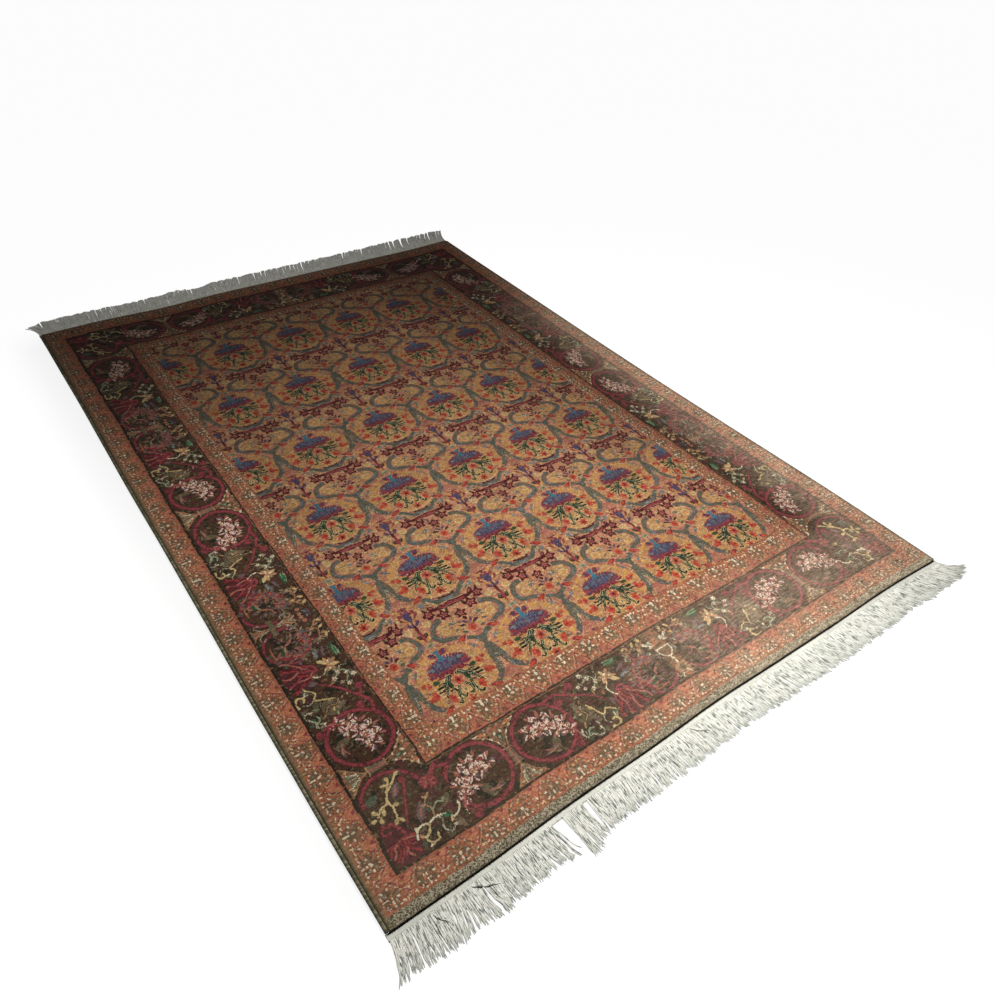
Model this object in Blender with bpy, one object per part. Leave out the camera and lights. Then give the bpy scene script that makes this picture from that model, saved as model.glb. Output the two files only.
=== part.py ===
"""Hand-knotted wool rug with overcast side cords, flat-woven end bands and cotton fringes.

Metres, +Z up. X runs across the rug, +Y along it from the near end to the far end. The origin is the
middle of the pile's flat underside, which lies on the floor at z = 0. Every edge is a little uneven, as
on a rug woven by hand, and every piece follows the same four edge lines.
"""
import bmesh
import bpy
import numpy as np
from mathutils import Vector

# --- driving dimensions -------------------------------------------------------------------------
HALF_WIDTH = 0.850        # nominal, from the middle to an overcast side
HALF_LENGTH = 1.200       # nominal, from the middle to a pile end
PILE_HEIGHT = 0.011       # foundation and pile together
FOUNDATION = 0.0029       # woven ground under the pile, showing only where the pile overhangs it
OVERHANG = 0.0040         # how far the pile leans out over the foundation at the ends
CORD_WIDTH = 0.0070       # overcast side cord
CORD_HEIGHT = 0.0086
BAND_WIDTH = 0.0120       # flat-woven cotton band beyond the pile
BAND_HEIGHT = 0.0026
BAND_TUCK = 0.0030        # part of the overhang that the band reaches in under
BAND_EDGE = 0.0018        # height of the band's outer edge
BAND_ROUND = 0.0012       # how far in from that edge the band reaches its full height
COMB_SPINE = 0.0050       # strip that the fringe's locks leave from
COMB_HEIGHT = 0.0026
MIDDLE_HEIGHT = 0.0023    # a lock's height half way to its tip
TIP_HEIGHT = 0.0018
MIDDLE_SHARE = 0.84       # a lock's width half way to its tip, as a share of its root
TIP_SHARE = 0.58
LOCKS = 72                # locks of yarn in each fringe
SLIT = 0.06               # half the slit between two locks, as a share of a lock's root
LENGTH_SPREAD = (0.93, 1.04)
LEAN_SPREAD = 0.0022
LEAN_BEND = 1.5           # power by which a leaning lock bends away from its root
GAP = 0.0003              # clearance between neighbouring pieces
CORNER = 0.007            # share of an edge taken off at a corner of the pile

# Outward departure of the four edges from the nominal rectangle, in metres. The share runs from the
# near end for the two sides, and from the left side for the two ends.
SHARE = (0.00, 0.12, 0.25, 0.38, 0.50, 0.62, 0.75, 0.88, 1.00)
EDGES = {
    "left": (0.0095, 0.0105, 0.0095, 0.0070, 0.0060, 0.0060, 0.0030, 0.0025, 0.0035),
    "right": (0.0015, 0.0045, 0.0000, -0.0060, -0.0080, -0.0070, -0.0040, -0.0025, 0.0005),
    "near": (-0.0050, -0.0050, -0.0105, -0.0100, -0.0130, -0.0080, -0.0035, -0.0015, 0.0090),
    "far": (0.0050, 0.0080, -0.0020, 0.0060, 0.0040, 0.0030, 0.0015, -0.0010, 0.0090),
}

# How the locks lie, as (share across, length, sideways lean of the tip, curl back of the tip).
NEAR_LOCKS = (
    (0.000, 0.062, -0.018, 0.0), (0.040, 0.070, 0.000, 0.0), (0.075, 0.069, -0.010, 0.0),
    (0.110, 0.070, 0.010, 0.0), (0.160, 0.068, 0.002, 0.0), (0.205, 0.068, 0.012, 0.0),
    (0.232, 0.092, 0.006, 0.0), (0.255, 0.070, 0.010, 0.0), (0.290, 0.068, -0.004, 0.0),
    (0.500, 0.066, 0.004, 0.0), (0.620, 0.069, 0.016, 0.0), (0.750, 0.068, 0.014, 0.0),
    (0.850, 0.066, 0.022, 0.0), (0.900, 0.066, 0.040, 0.0), (0.985, 0.058, 0.052, 0.0),
    (1.000, 0.040, 0.064, 0.0),
)
FAR_LOCKS = (
    (0.000, 0.092, -0.034, 0.30), (0.015, 0.094, 0.000, 0.0), (0.200, 0.093, 0.008, 0.0),
    (0.300, 0.108, 0.010, 0.0), (0.336, 0.084, 0.012, 0.0), (0.380, 0.102, 0.016, 0.0),
    (0.500, 0.104, 0.024, 0.0), (0.700, 0.106, 0.036, 0.0), (0.850, 0.118, 0.040, 0.0),
    (1.000, 0.108, 0.044, 0.0),
)
NEAR_PARTING = (0.216, 0.230)  # bare stretch of the near band, where two locks have been brushed apart

# Stations that all pieces share, so that neighbours stay the same distance apart between them.
ACROSS = np.linspace(-1, 1, LOCKS // 2 + 1)
ALONG = np.linspace(-1, 1, 35)

# The pile's edge from the floor up, as (draw-in at the sides, draw-in at the ends, height).
CORD_ROOM = CORD_WIDTH + GAP
PILE_PROFILE = (
    (CORD_ROOM + 0.0005, OVERHANG, 0.0),
    (CORD_ROOM, OVERHANG, FOUNDATION),
    (CORD_ROOM, 0.0007, 0.0044),
    (CORD_ROOM, 0.0, 0.0066),
    (CORD_ROOM + 0.0008, 0.0015, 0.0093),
    (CORD_ROOM + 0.0040, 0.0052, PILE_HEIGHT),
)

# The cord's section: flat against the pile, flat on the floor and round outside, as (share of its
# width, share of its height).
CORD_SECTION = (
    (0.0, 0.0), (0.62, 0.0), (0.93, 0.18), (1.0, 0.45),
    (0.90, 0.76), (0.62, 0.96), (0.25, 1.0), (0.0, 0.92),
)

# The band's section, as (distance out from the pile's end, height).
BAND_SECTION = (
    (-BAND_TUCK, 0.0), (BAND_WIDTH, 0.0), (BAND_WIDTH, BAND_EDGE),
    (BAND_WIDTH - BAND_ROUND, BAND_HEIGHT), (-BAND_TUCK, BAND_HEIGHT),
)


# --- edge lines ---------------------------------------------------------------------------------
def smooth_edge(rows, stations):
    """Cubic pieces through an edge's rows, with slopes from the neighbours, read at the stations."""
    share = (stations + 1) / 2
    slopes = np.gradient(rows, SHARE)
    k = np.clip(np.searchsorted(SHARE, share, side="right") - 1, 0, len(SHARE) - 2)
    step = np.diff(SHARE)[k]
    u = (share - np.array(SHARE)[k]) / step
    low, high = np.array(rows)[k], np.array(rows)[k + 1]
    levels = (1 + 2 * u) * (1 - u) ** 2 * low + u * u * (3 - 2 * u) * high
    return levels + step * (u * (1 - u) ** 2 * slopes[k] - u * u * (1 - u) * slopes[k + 1])


EDGE_LINES = {
    name: smooth_edge(rows, ALONG if name in ("left", "right") else ACROSS) for name, rows in EDGES.items()
}


def on_rug(s, t, side_inset=0.0, end_inset=0.0):
    """The floor point at s across and t along, each -1 to 1, with both edge pairs drawn in."""
    side = np.interp(t, ALONG, EDGE_LINES["right" if s > 0 else "left"])
    end = np.interp(s, ACROSS, EDGE_LINES["far" if t > 0 else "near"])
    return s * (HALF_WIDTH + side - side_inset), t * (HALF_LENGTH + end - end_inset)


def outline():
    """The (s, t) places once round the rug, anticlockwise, with each corner cut across."""
    across = [-1 + CORNER, *ACROSS[1:-1], 1 - CORNER]
    along = [-1 + CORNER, *ALONG[1:-1], 1 - CORNER]
    return (
        [(s, -1) for s in across]
        + [(1, t) for t in along]
        + [(s, 1) for s in reversed(across)]
        + [(-1, t) for t in reversed(along)]
    )


# --- mesh and material helpers ------------------------------------------------------------------
def material(name, colour, roughness):
    """A plain dyed-yarn finish."""
    made = bpy.data.materials.new(name)
    made.use_nodes = True
    shader = made.node_tree.nodes["Principled BSDF"]
    shader.inputs["Base Color"].default_value = (*colour, 1.0)
    shader.inputs["Roughness"].default_value = roughness
    shader.inputs["Metallic"].default_value = 0.0
    made.diffuse_color = (*colour, 1.0)
    return made


def add_piece(name, mesh, finish):
    """Closes the bmesh into a named object with its faces pointing out."""
    bmesh.ops.recalc_face_normals(mesh, faces=mesh.faces)
    data = bpy.data.meshes.new(name)
    mesh.to_mesh(data)
    mesh.free()
    data.materials.append(finish)
    piece = bpy.data.objects.new(name, data)
    bpy.context.collection.objects.link(piece)
    return piece


def stack_rings(rings):
    """Joins rings of equal length, the first and last of them closed with one face each."""
    mesh = bmesh.new()
    rows = [[mesh.verts.new(point) for point in ring] for ring in rings]
    for low, high in zip(rows, rows[1:]):
        for k in range(len(low)):
            after = (k + 1) % len(low)
            mesh.faces.new((low[k], low[after], high[after], high[k]))
    mesh.faces.new(rows[0])
    mesh.faces.new(rows[-1])
    return mesh


# --- pieces -------------------------------------------------------------------------------------
def pile_body(finish):
    """The knotted wool body: a flat underside, upright sides, ends that overhang, a soft top edge."""
    loop = outline()
    rings = [[(*on_rug(s, t, side, end), z) for s, t in loop] for side, end, z in PILE_PROFILE]
    return add_piece("pile_body", stack_rings(rings), finish)


def side_cord(name, side, finish):
    """A cord overcast with wool along one side: flat against the pile and the floor, round outside."""
    rings = []
    for t in ALONG:
        ring = []
        for out, up in CORD_SECTION:
            x, y = on_rug(side, t, CORD_WIDTH * (1 - out), OVERHANG)
            ring.append((x, y, CORD_HEIGHT * up))
        rings.append(ring)
    return add_piece(name, stack_rings(rings), finish)


def end_band(name, end, finish):
    """The flat-woven cotton band, tucked under the pile's overhang and reaching past it."""
    rings = [[(*on_rug(s, end, 0.0, -out), z) for out, z in BAND_SECTION] for s in ACROSS]
    return add_piece(name, stack_rings(rings), finish)


def lock_row(table, share):
    """Length, lean and curl at a share across, read between the table's rows."""
    columns = np.array(table).T
    return [float(np.interp(share, columns[0], column)) for column in columns[1:]]


def fringe(name, end, table, parting, seed, finish):
    """One comb: a thin spine along the band's outer edge, and a flat lock of yarn for each tooth."""
    chance = np.random.default_rng(seed)
    spine_in = BAND_WIDTH + GAP
    spine_out = spine_in + COMB_SPINE
    edges = np.linspace(0.0, 1.0, LOCKS + 1)
    mesh = bmesh.new()

    def column(share, out, height):
        x, y = on_rug(2 * share - 1, end, 0.0, -out)
        return mesh.verts.new((x, y, 0.0)), mesh.verts.new((x, y, height))

    def station(share):
        """The spine's four corners at one place: inner low, inner high, outer low, outer high."""
        return column(share, spine_in, COMB_HEIGHT) + column(share, spine_out, COMB_HEIGHT)

    def spine_run(a, b):
        mesh.faces.new((a[0], b[0], b[2], a[2]))
        mesh.faces.new((a[1], a[3], b[3], b[1]))
        mesh.faces.new((a[0], a[1], b[1], b[0]))

    def lock(a, b, share):
        """Grows a flat lock from the spine between stations a and b: two stretches, then the tip."""
        length, lean, curl = lock_row(table, share)
        length *= chance.uniform(*LENGTH_SPREAD)
        lean += chance.uniform(-LEAN_SPREAD, LEAN_SPREAD)
        left_low, left_high, right_low, right_high = a[2], a[3], b[2], b[3]
        middle = (left_low.co + right_low.co) / 2
        half = (right_low.co - left_low.co) / 2
        for reach, width, height in ((0.5, MIDDLE_SHARE, MIDDLE_HEIGHT), (1.0, TIP_SHARE, TIP_HEIGHT)):
            outward = end * length * (reach - curl * reach * reach)
            centre = middle + Vector((lean * reach ** LEAN_BEND, outward, 0.0))
            corners = [centre - half * width, centre + half * width]
            next_low = [mesh.verts.new(corner) for corner in corners]
            next_high = [mesh.verts.new(corner + Vector((0, 0, height))) for corner in corners]
            mesh.faces.new((left_low, right_low, next_low[1], next_low[0]))
            mesh.faces.new((left_high, next_high[0], next_high[1], right_high))
            mesh.faces.new((left_low, next_low[0], next_high[0], left_high))
            mesh.faces.new((right_low, right_high, next_high[1], next_low[1]))
            left_low, right_low = next_low
            left_high, right_high = next_high
        mesh.faces.new((left_low, right_low, right_high, left_high))

    slit = SLIT / LOCKS
    last = station(edges[0])
    mesh.faces.new((last[0], last[2], last[3], last[1]))
    for k in range(LOCKS):
        share = (edges[k] + edges[k + 1]) / 2
        after = station(edges[k + 1] - slit)
        spine_run(last, after)
        if parting and parting[0] < share < parting[1]:
            mesh.faces.new((last[2], after[2], after[3], last[3]))
        else:
            lock(last, after, share)
        last = after
        if k < LOCKS - 1:
            after = station(edges[k + 1] + slit)
            spine_run(last, after)
            mesh.faces.new((last[2], after[2], after[3], last[3]))
            last = after
    mesh.faces.new((last[0], last[1], last[3], last[2]))
    return add_piece(name, mesh, finish)


def build():
    """Clears the scene and makes the seven pieces."""
    for old in list(bpy.data.objects):
        bpy.data.objects.remove(old, do_unlink=True)
    wool = material("knotted_wool", (0.180, 0.090, 0.045), 0.90)
    cord = material("overcast_wool", (0.060, 0.058, 0.035), 0.90)
    cotton = material("flat_woven_cotton", (0.640, 0.600, 0.500), 0.85)
    yarn = material("fringe_cotton", (0.620, 0.630, 0.570), 0.80)
    pile_body(wool)
    side_cord("side_cord_left", -1, cord)
    side_cord("side_cord_right", 1, cord)
    end_band("end_band_near", -1, cotton)
    end_band("end_band_far", 1, cotton)
    fringe("fringe_near", -1, NEAR_LOCKS, NEAR_PARTING, 11, yarn)
    fringe("fringe_far", 1, FAR_LOCKS, None, 12, yarn)


build()
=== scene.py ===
# %% [markdown]
# # A hand-knotted rug with a lattice of flowers
# The imported model gives the rug's seven pieces at their real size: the knotted pile, two side
# cords, two flat-woven end bands and two fringes. This lesson dresses each of them. It starts by
# loading that frame.

import math

import bpy
import numpy as np
from mathutils import Matrix, Vector


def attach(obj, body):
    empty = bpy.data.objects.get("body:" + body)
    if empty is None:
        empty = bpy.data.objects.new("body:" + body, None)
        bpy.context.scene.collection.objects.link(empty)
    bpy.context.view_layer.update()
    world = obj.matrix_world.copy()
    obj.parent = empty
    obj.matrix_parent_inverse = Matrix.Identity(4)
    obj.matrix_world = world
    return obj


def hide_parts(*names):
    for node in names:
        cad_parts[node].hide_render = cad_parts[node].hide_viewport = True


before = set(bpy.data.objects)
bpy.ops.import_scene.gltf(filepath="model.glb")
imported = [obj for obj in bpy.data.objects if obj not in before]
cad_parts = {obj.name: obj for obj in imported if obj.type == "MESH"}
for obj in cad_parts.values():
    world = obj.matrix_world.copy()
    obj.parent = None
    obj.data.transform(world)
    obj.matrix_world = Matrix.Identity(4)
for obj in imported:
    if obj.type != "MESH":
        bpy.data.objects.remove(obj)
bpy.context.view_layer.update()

# %% [markdown]
# ## Camera
# The rug lies on the floor and is seen from standing height at its near left corner, a little
# rolled. A camera needs a place and three axes. The axes are written as the way it looks and the
# way its right side points, and the third follows from a cross product, which keeps them square.

# %% Camera
CAMERA_PLACE = Vector((-1.1084, -1.7203, 1.4950))
CAMERA_LOOKS = Vector((0.47804, 0.59364, -0.64736)).normalized()
CAMERA_RIGHT = Vector((0.80675, -0.58819, 0.05636)).normalized()
CAMERA_LENS = 29.22  # mm, on a sensor 36 mm wide


def add_camera():
    """A camera whose axes are right, up = right x looks, and back = -looks."""
    up = CAMERA_RIGHT.cross(CAMERA_LOOKS)
    turn = Matrix((CAMERA_RIGHT, up, -CAMERA_LOOKS)).transposed()
    data = bpy.data.cameras.new("camera")
    data.lens = CAMERA_LENS
    data.sensor_width = 36.0
    camera = bpy.data.objects.new("camera", data)
    camera.matrix_world = Matrix.Translation(CAMERA_PLACE) @ turn.to_4x4()
    bpy.context.scene.collection.objects.link(camera)
    bpy.context.scene.camera = camera
    return camera


camera = add_camera()
print("camera pitch:", round(math.degrees(math.asin(CAMERA_LOOKS.z)), 1), "degrees")

# %% [markdown]
# ## The yarns
# A knotted rug is a mosaic: every knot is one yarn of one dye lot, and nothing is printed on it.
# So the design is kept as a chart on squared paper, one yarn for each knot, and the list of dyed
# yarns comes first. The values are sRGB, as on a dyer's card.

# %% Chart: the dyed yarns
YARNS = {
    "olive": (98, 90, 66), "chocolate": (78, 54, 40), "bark": (118, 92, 68), "rust": (178, 106, 78),
    "orange_rust": (194, 120, 88), "soot": (50, 42, 32), "cream": (232, 216, 184),
    "tan": (168, 128, 94), "rose": (146, 66, 70), "plum": (88, 46, 48), "blossom": (230, 200, 184),
    "crimson": (150, 56, 60), "straw": (206, 178, 126), "celadon": (150, 156, 122),
    "leaf_green": (48, 106, 70), "heather": (112, 92, 92), "taupe": (122, 104, 84),
    "camel": (188, 140, 92), "honey": (202, 148, 84), "salmon": (200, 138, 108), "slate": (92, 95, 84),
    "sage": (82, 94, 74), "bottle": (56, 76, 52), "turquoise": (74, 116, 132), "blue": (68, 84, 120),
    "violet": (86, 66, 92), "poppy": (190, 76, 54), "cherry": (80, 28, 32), "ink": (42, 40, 30),
    "ash": (184, 174, 150), "rosewood": (170, 106, 90), "dusk_blue": (112, 122, 128),
}
NUMBER = {name: k for k, name in enumerate(YARNS)}
print(len(YARNS), "yarns")

# %% [markdown]
# ## Squared paper and a pen
# A canvas is the squared paper: an array with one yarn number to a square. A pen stands
# somewhere on it, turned or mirrored, and fills the squares whose middles lie inside a simple
# form. Working out forms on whole arrays is quick, and a mirrored pen gives the other half of a
# motif for nothing, just as a weaver reads the same card backwards.

# %% Chart: canvas
class Canvas:
    """Squared paper from (left, bottom) to (right, top), a square to each millimetre."""

    def __init__(self, left, right, bottom, top, ground):
        self.left, self.bottom = left, bottom
        self.x = np.arange(left + 0.5, right)
        self.y = np.arange(bottom + 0.5, top)
        self.yarn = np.full((len(self.y), len(self.x)), NUMBER[ground], np.uint8)

    def read(self, x, y, layer=None):
        """The yarn, or another layer's value, in the square that holds each (x, y)."""
        column = np.clip(x - self.left, 0, len(self.x) - 1).astype(int)
        row = np.clip(y - self.bottom, 0, len(self.y) - 1).astype(int)
        return (self.yarn if layer is None else layer)[row, column]


def smooth_route(points, step=1.2):
    """Catmull-Rom curve: between two points, a cubic whose end slopes are half the span of the
    neighbours, read every `step` millimetres or so."""
    p = np.array(points, float)
    if len(p) == 2:
        count = max(2, int(np.hypot(*(p[1] - p[0])) / step) + 1)
        return p[0] + np.linspace(0, 1, count)[:, None] * (p[1] - p[0])
    p = np.vstack((2 * p[0] - p[1], p, 2 * p[-1] - p[-2]))
    parts = []
    for a, b, c, d in zip(p, p[1:], p[2:], p[3:]):
        s = np.linspace(0, 1, max(2, int(np.hypot(*(c - b)) / step) + 1))[:, None]
        bend, twist = a - 2.5 * b + 2 * c - d / 2, 1.5 * (b - c) + (d - a) / 2
        parts.append(b + s * (c - a) / 2 + s**2 * bend + s**3 * twist)
    return np.vstack(parts)


# %% Chart: pen
class Pen:
    """Stands at (x, y) on a canvas, turned by some degrees. u runs to its right and v upwards."""

    def __init__(self, canvas, x=0.0, y=0.0, turn=0.0, mirror=1):
        self.canvas, self.x, self.y, self.mirror = canvas, x, y, mirror
        self.cos, self.sin = math.cos(math.radians(turn)), math.sin(math.radians(turn))

    def squares(self, u, v, reach):
        """The window within reach of (u, v), and its squares' places measured from there."""
        x = self.x + self.cos * self.mirror * u - self.sin * v
        y = self.y + self.sin * self.mirror * u + self.cos * v
        rows = slice(*np.searchsorted(self.canvas.y, (y - reach, y + reach)))
        columns = slice(*np.searchsorted(self.canvas.x, (x - reach, x + reach)))
        dx, dy = self.canvas.x[columns][None, :] - self.x, self.canvas.y[rows][:, None] - self.y
        across = self.mirror * (self.cos * dx + self.sin * dy)
        return (rows, columns), across - u, self.cos * dy - self.sin * dx - v

    def fill(self, yarn, window, inside):
        self.canvas.yarn[window][inside] = NUMBER[yarn]

    def oval(self, yarn, u, v, a, b=None, turn=0.0, power=2.0):
        """|m/a|^power + |n/b|^power < 1 on axes turned by some degrees."""
        b = a if b is None else b
        window, du, dv = self.squares(u, v, max(a, b) + 1)
        c, s = math.cos(math.radians(turn)), math.sin(math.radians(turn))
        m, n = np.abs(c * du + s * dv) / a, np.abs(c * dv - s * du) / b
        self.fill(yarn, window, m**power + n**power < 1)

    def leaf(self, yarn, u, v, length, width, turn, belly=0.5, teeth=0):
        """From its foot at (u, v) towards `turn`. A share s of the way along, half its width is
        width/2 * (s / belly)^(2 belly) * ((1 - s) / (1 - belly))^(2 - 2 belly), widest where
        s = belly. Each of the `teeth` notches takes up to two fifths of the width."""
        window, du, dv = self.squares(u, v, length + width)
        c, s = math.cos(math.radians(turn)), math.sin(math.radians(turn))
        along, off = (c * du + s * dv) / length, np.abs(c * dv - s * du)
        t = np.clip(along, 1e-6, 1 - 1e-6)
        half = width / 2 * (t / belly) ** (2 * belly) * ((1 - t) / (1 - belly)) ** (2 - 2 * belly)
        if teeth:
            half = half * (0.6 + 0.4 * ((along * teeth) % 1))
        self.fill(yarn, window, (along > 0) & (along < 1) & (off < half))

    def flower(self, yarn, u, v, radius, petals, turn=0.0, depth=0.35):
        """r < radius * (1 - depth * (1 - cos(petals * angle)) / 2)."""
        window, du, dv = self.squares(u, v, radius + 1)
        angle = np.arctan2(dv, du) - math.radians(turn)
        edge = radius * (1 - depth * (1 - np.cos(petals * angle)) / 2)
        self.fill(yarn, window, np.hypot(du, dv) < edge)

    def ring(self, yarn, u, v, radius, width, start=0.0, end=360.0):
        """A band of some width round (u, v), from one angle to another, anticlockwise."""
        window, du, dv = self.squares(u, v, radius + width)
        angle = (np.degrees(np.arctan2(dv, du)) - start) % 360
        on_band = np.abs(np.hypot(du, dv) - radius) < width / 2
        self.fill(yarn, window, on_band & (angle <= end - start))

    def burst(self, yarn, u, v, inner, outer, rays, width, start=0.0, end=360.0):
        """Straight rays round (u, v): inner < r < outer, and within width/2 of the nearest ray."""
        window, du, dv = self.squares(u, v, outer + 1)
        r, angle = np.hypot(du, dv), (np.degrees(np.arctan2(dv, du)) - start) % 360
        gap = (end - start) / (rays if end - start >= 360 else rays - 1)
        off = np.abs((angle + gap / 2) % gap - gap / 2)
        inside = (r > inner) & (r < outer) & (r * np.radians(off) < width / 2)
        self.fill(yarn, window, inside & (angle <= end - start + gap / 2))

    def line(self, yarn, points, width, end_width=None):
        """Squares within half a width of a smooth route through the points."""
        route = smooth_route(points)
        middle = (route.min(0) + route.max(0)) / 2
        end_width = width if end_width is None else end_width
        reach = np.hypot(*(route - middle).T).max() + max(width, end_width)
        window, du, dv = self.squares(*middle, reach)
        half = np.linspace(width, end_width, len(route)) / 2
        route_u, route_v = (route - middle).T
        off = np.hypot(du[..., None] - route_u, dv[..., None] - route_v)
        self.fill(yarn, window, (off < half).any(-1))

    def patch(self, yarn, points):
        """A straight-sided shape: a square is inside if a line from it crosses the edge an odd
        number of times."""
        p = np.array(points, float)
        middle = (p.min(0) + p.max(0)) / 2
        window, du, dv = self.squares(*middle, np.hypot(*(p - middle).T).max() + 1)
        inside = np.zeros(du.shape, bool)
        for (ua, va), (ub, vb) in zip(p - middle, np.roll(p, -1, 0) - middle):
            if va != vb:
                crosses = (va > dv) != (vb > dv)
                inside ^= crosses & (du < ua + (dv - va) * (ub - ua) / (vb - va))
        self.fill(yarn, window, inside)

    def rimmed_oval(self, rim_yarn, yarn, rim, u, v, a, b, power=2.0):
        """An oval on a larger one, which shows as its rim."""
        self.oval(rim_yarn, u, v, a + rim, b + rim, power=power)
        self.oval(yarn, u, v, a, b, power=power)

    def lines(self, yarn, routes, width, end_width=None):
        """Several lines of one yarn and width."""
        for points in routes:
            self.line(yarn, points, width, end_width)

    def leaves(self, length, width, places, belly=0.5):
        """Leaves of one size. Each place is a yarn, a foot and a turn."""
        for yarn, u, v, turn in places:
            self.leaf(yarn, u, v, length, width, turn, belly)

# %% [markdown]
# ## The field's repeat
# The field is a lattice of slate stems with a round medallion in every opening, the rows set
# half a repeat apart. One repeat is drawn once, and only its right half, because both the
# medallion's axis and the stem's axis are mirrors. u is the distance from the medallion's axis
# and v the distance above its middle, in millimetres.

# %% Chart: the medallion's ground
def draw_ground(pen):
    """Camel ground, the medallion's honey disc with its hatched rim, and pale haloes by the stems."""
    pen.oval("camel", 115, -150, 38, 20)
    pen.oval("rosewood", 0, -43, 109, 100, power=1.8)
    pen.oval("honey", 0, -43, 101, 92, power=1.8)
    for k in range(40):
        angle = math.radians(-90 + 4.7 * k)
        u, v = 95 * math.cos(angle), -43 + 86 * math.sin(angle)
        pen.leaf(("rosewood", "straw", "camel")[k % 3], u, v, 14, 3.4, math.degrees(angle) + 20)
    pen.oval("camel", 0, -43, 90, 82, power=1.8)
    for k in range(19):
        angle = math.radians(-84 + 9.5 * k)
        out, up = math.cos(angle), math.sin(angle)
        pen.leaf(("salmon", "honey")[k % 2], 74 * out, -43 + 66 * up, 21, 6, math.degrees(angle) + 12, 0.6)
        pen.leaf(("rosewood", "honey")[k % 2], 48 * out, -43 + 44 * up, 20, 5, math.degrees(angle) - 10)
        pen.leaf("straw", 62 * out, -43 + 56 * up, 12, 3, math.degrees(angle) + 24)
    pen.patch("salmon", ((115, -76), (96, -106), (84, -124), (115, -130)))
    pen.burst("rosewood", 115, -78, 8, 42, 9, 2.4, 200, 270)


# %% Chart: the lattice and its paths
def draw_lattice(pen):
    """The slate stems: the trunk and its two arms, down to the dish under the next medallion."""
    pen.line("slate", ((115, 20), (115, -16), (115, -40)), 17, 27)
    pen.line("slate", ((107, -36), (103, -62), (96, -86), (82, -102), (64, -115)), 18, 13)
    pen.line("slate", ((62, -117), (46, -130), (34, -142), (28, -150)), 12, 11)
    pen.line("taupe", ((108, -20), (105, -50), (98, -78)), 5, 3)
    pen.line("ash", ((113, -40), (108, -62), (102, -84)), 2.4)
    pen.line("heather", ((92, -92), (78, -106)), 4, 3)
    pen.line("taupe", ((84, 18), (97, 8), (106, -6)), 6, 4)
    pen.oval("dusk_blue", 86, 7, 6, 8, 30)
    pen.burst("ash", 86, 7, 2, 8, 5, 2.2)


def draw_vase_path(pen):
    """The slate path below a spray: out round the lower garden, and in to the next trunk."""
    path = ((50, -200), (62, -201), (78, -209), (89, -226), (91, -243), (80, -256), (60, -263), (42, -271))
    pen.line("rosewood", path, 17, 15)
    pen.line("slate", path, 13.5, 12.5)
    pen.line("slate", ((42, -271), (22, -284), (0, -298)), 12, 12)
    pen.line("taupe", ((66, -202), (80, -212), (88, -226)), 3.4)
    pen.line("dusk_blue", ((90, -240), (80, -254)), 3.4)
    pen.oval("slate", 0, -300, 11, 12)


# %% Chart: the medallion's palmette
def draw_palmette(pen):
    """The blue fan with its turquoise crown, a toothed violet border and a striped rose skirt."""
    pen.oval("salmon", 0, 33, 25, 14)
    pen.leaf("crimson", 5, 24, 24, 16, 38, 0.6)
    pen.leaf("violet", 9, 28, 18, 8, 36, 0.6)
    pen.oval("rosewood", 25, 31, 5, 4, 50)
    pen.patch("turquoise", ((-9, 43), (9, 43), (6, 35), (4, 30), (8, 19), (-8, 19), (-4, 30), (-6, 35)))
    pen.oval("salmon", 0, -6, 58, 25, power=2.4)
    for k in range(13):
        angle = math.radians(-34 + 9.6 * k)
        u, v = 43 * math.cos(angle), -8 + 19 * math.sin(angle)
        pen.leaf(("crimson", "violet")[k % 2], u, v, 14, 6, math.degrees(angle) * 0.8, 0.45)
    pen.oval("violet", 0, -7, 47, 21, power=2.3)
    pen.oval("blue", 0, 0, 30, 15)
    for k in range(12):
        pen.line(("heather", "plum")[k % 2], ((3.9 * k, 10 - 0.2 * k), (4.3 * k, -14)), 1.8)
    pen.oval("dusk_blue", 38, -2, 6, 5)
    for k in range(9):
        pen.line(("violet", "dusk_blue")[k % 2], ((3.6 * k, 12 - 0.3 * k), (4.2 * k, 0)), 2.2)
    pen.oval("turquoise", 0, 13, 10, 7)
    pen.leaf("turquoise", 10, 8, 17, 5, -40)
    pen.leaf("turquoise", 22, 4, 12, 4, -60)
    pen.leaf("dusk_blue", 40, 2, 11, 4, -20)
    pen.leaf("rose", 35, -14, 22, 9, 8)
    pen.patch("rose", ((0, -15), (38, -15), (36, -26), (31, -33), (0, -34)))
    for k in range(7):
        u = 5.6 * k
        pen.line("violet", ((u, 11 - 0.25 * u), (u * 1.02, -20)), 2.6)
        pen.leaf("crimson" if k % 2 else "plum", u, -18, 20 - 0.7 * k, 4.2, -90 + 0.9 * k, 0.55)
    pen.line("dusk_blue", ((3, 4), (3, -10)), 1.8)
    pen.line("dusk_blue", ((14, 4), (15, -8)), 1.8)
    pen.leaf("crimson", 40, -25, 24, 9, 14, 0.5, 3)
    pen.leaf("violet", 44, -23, 13, 3.5, 16)
    pen.leaf("rose", 33, -29, 15, 6, -18)


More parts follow.
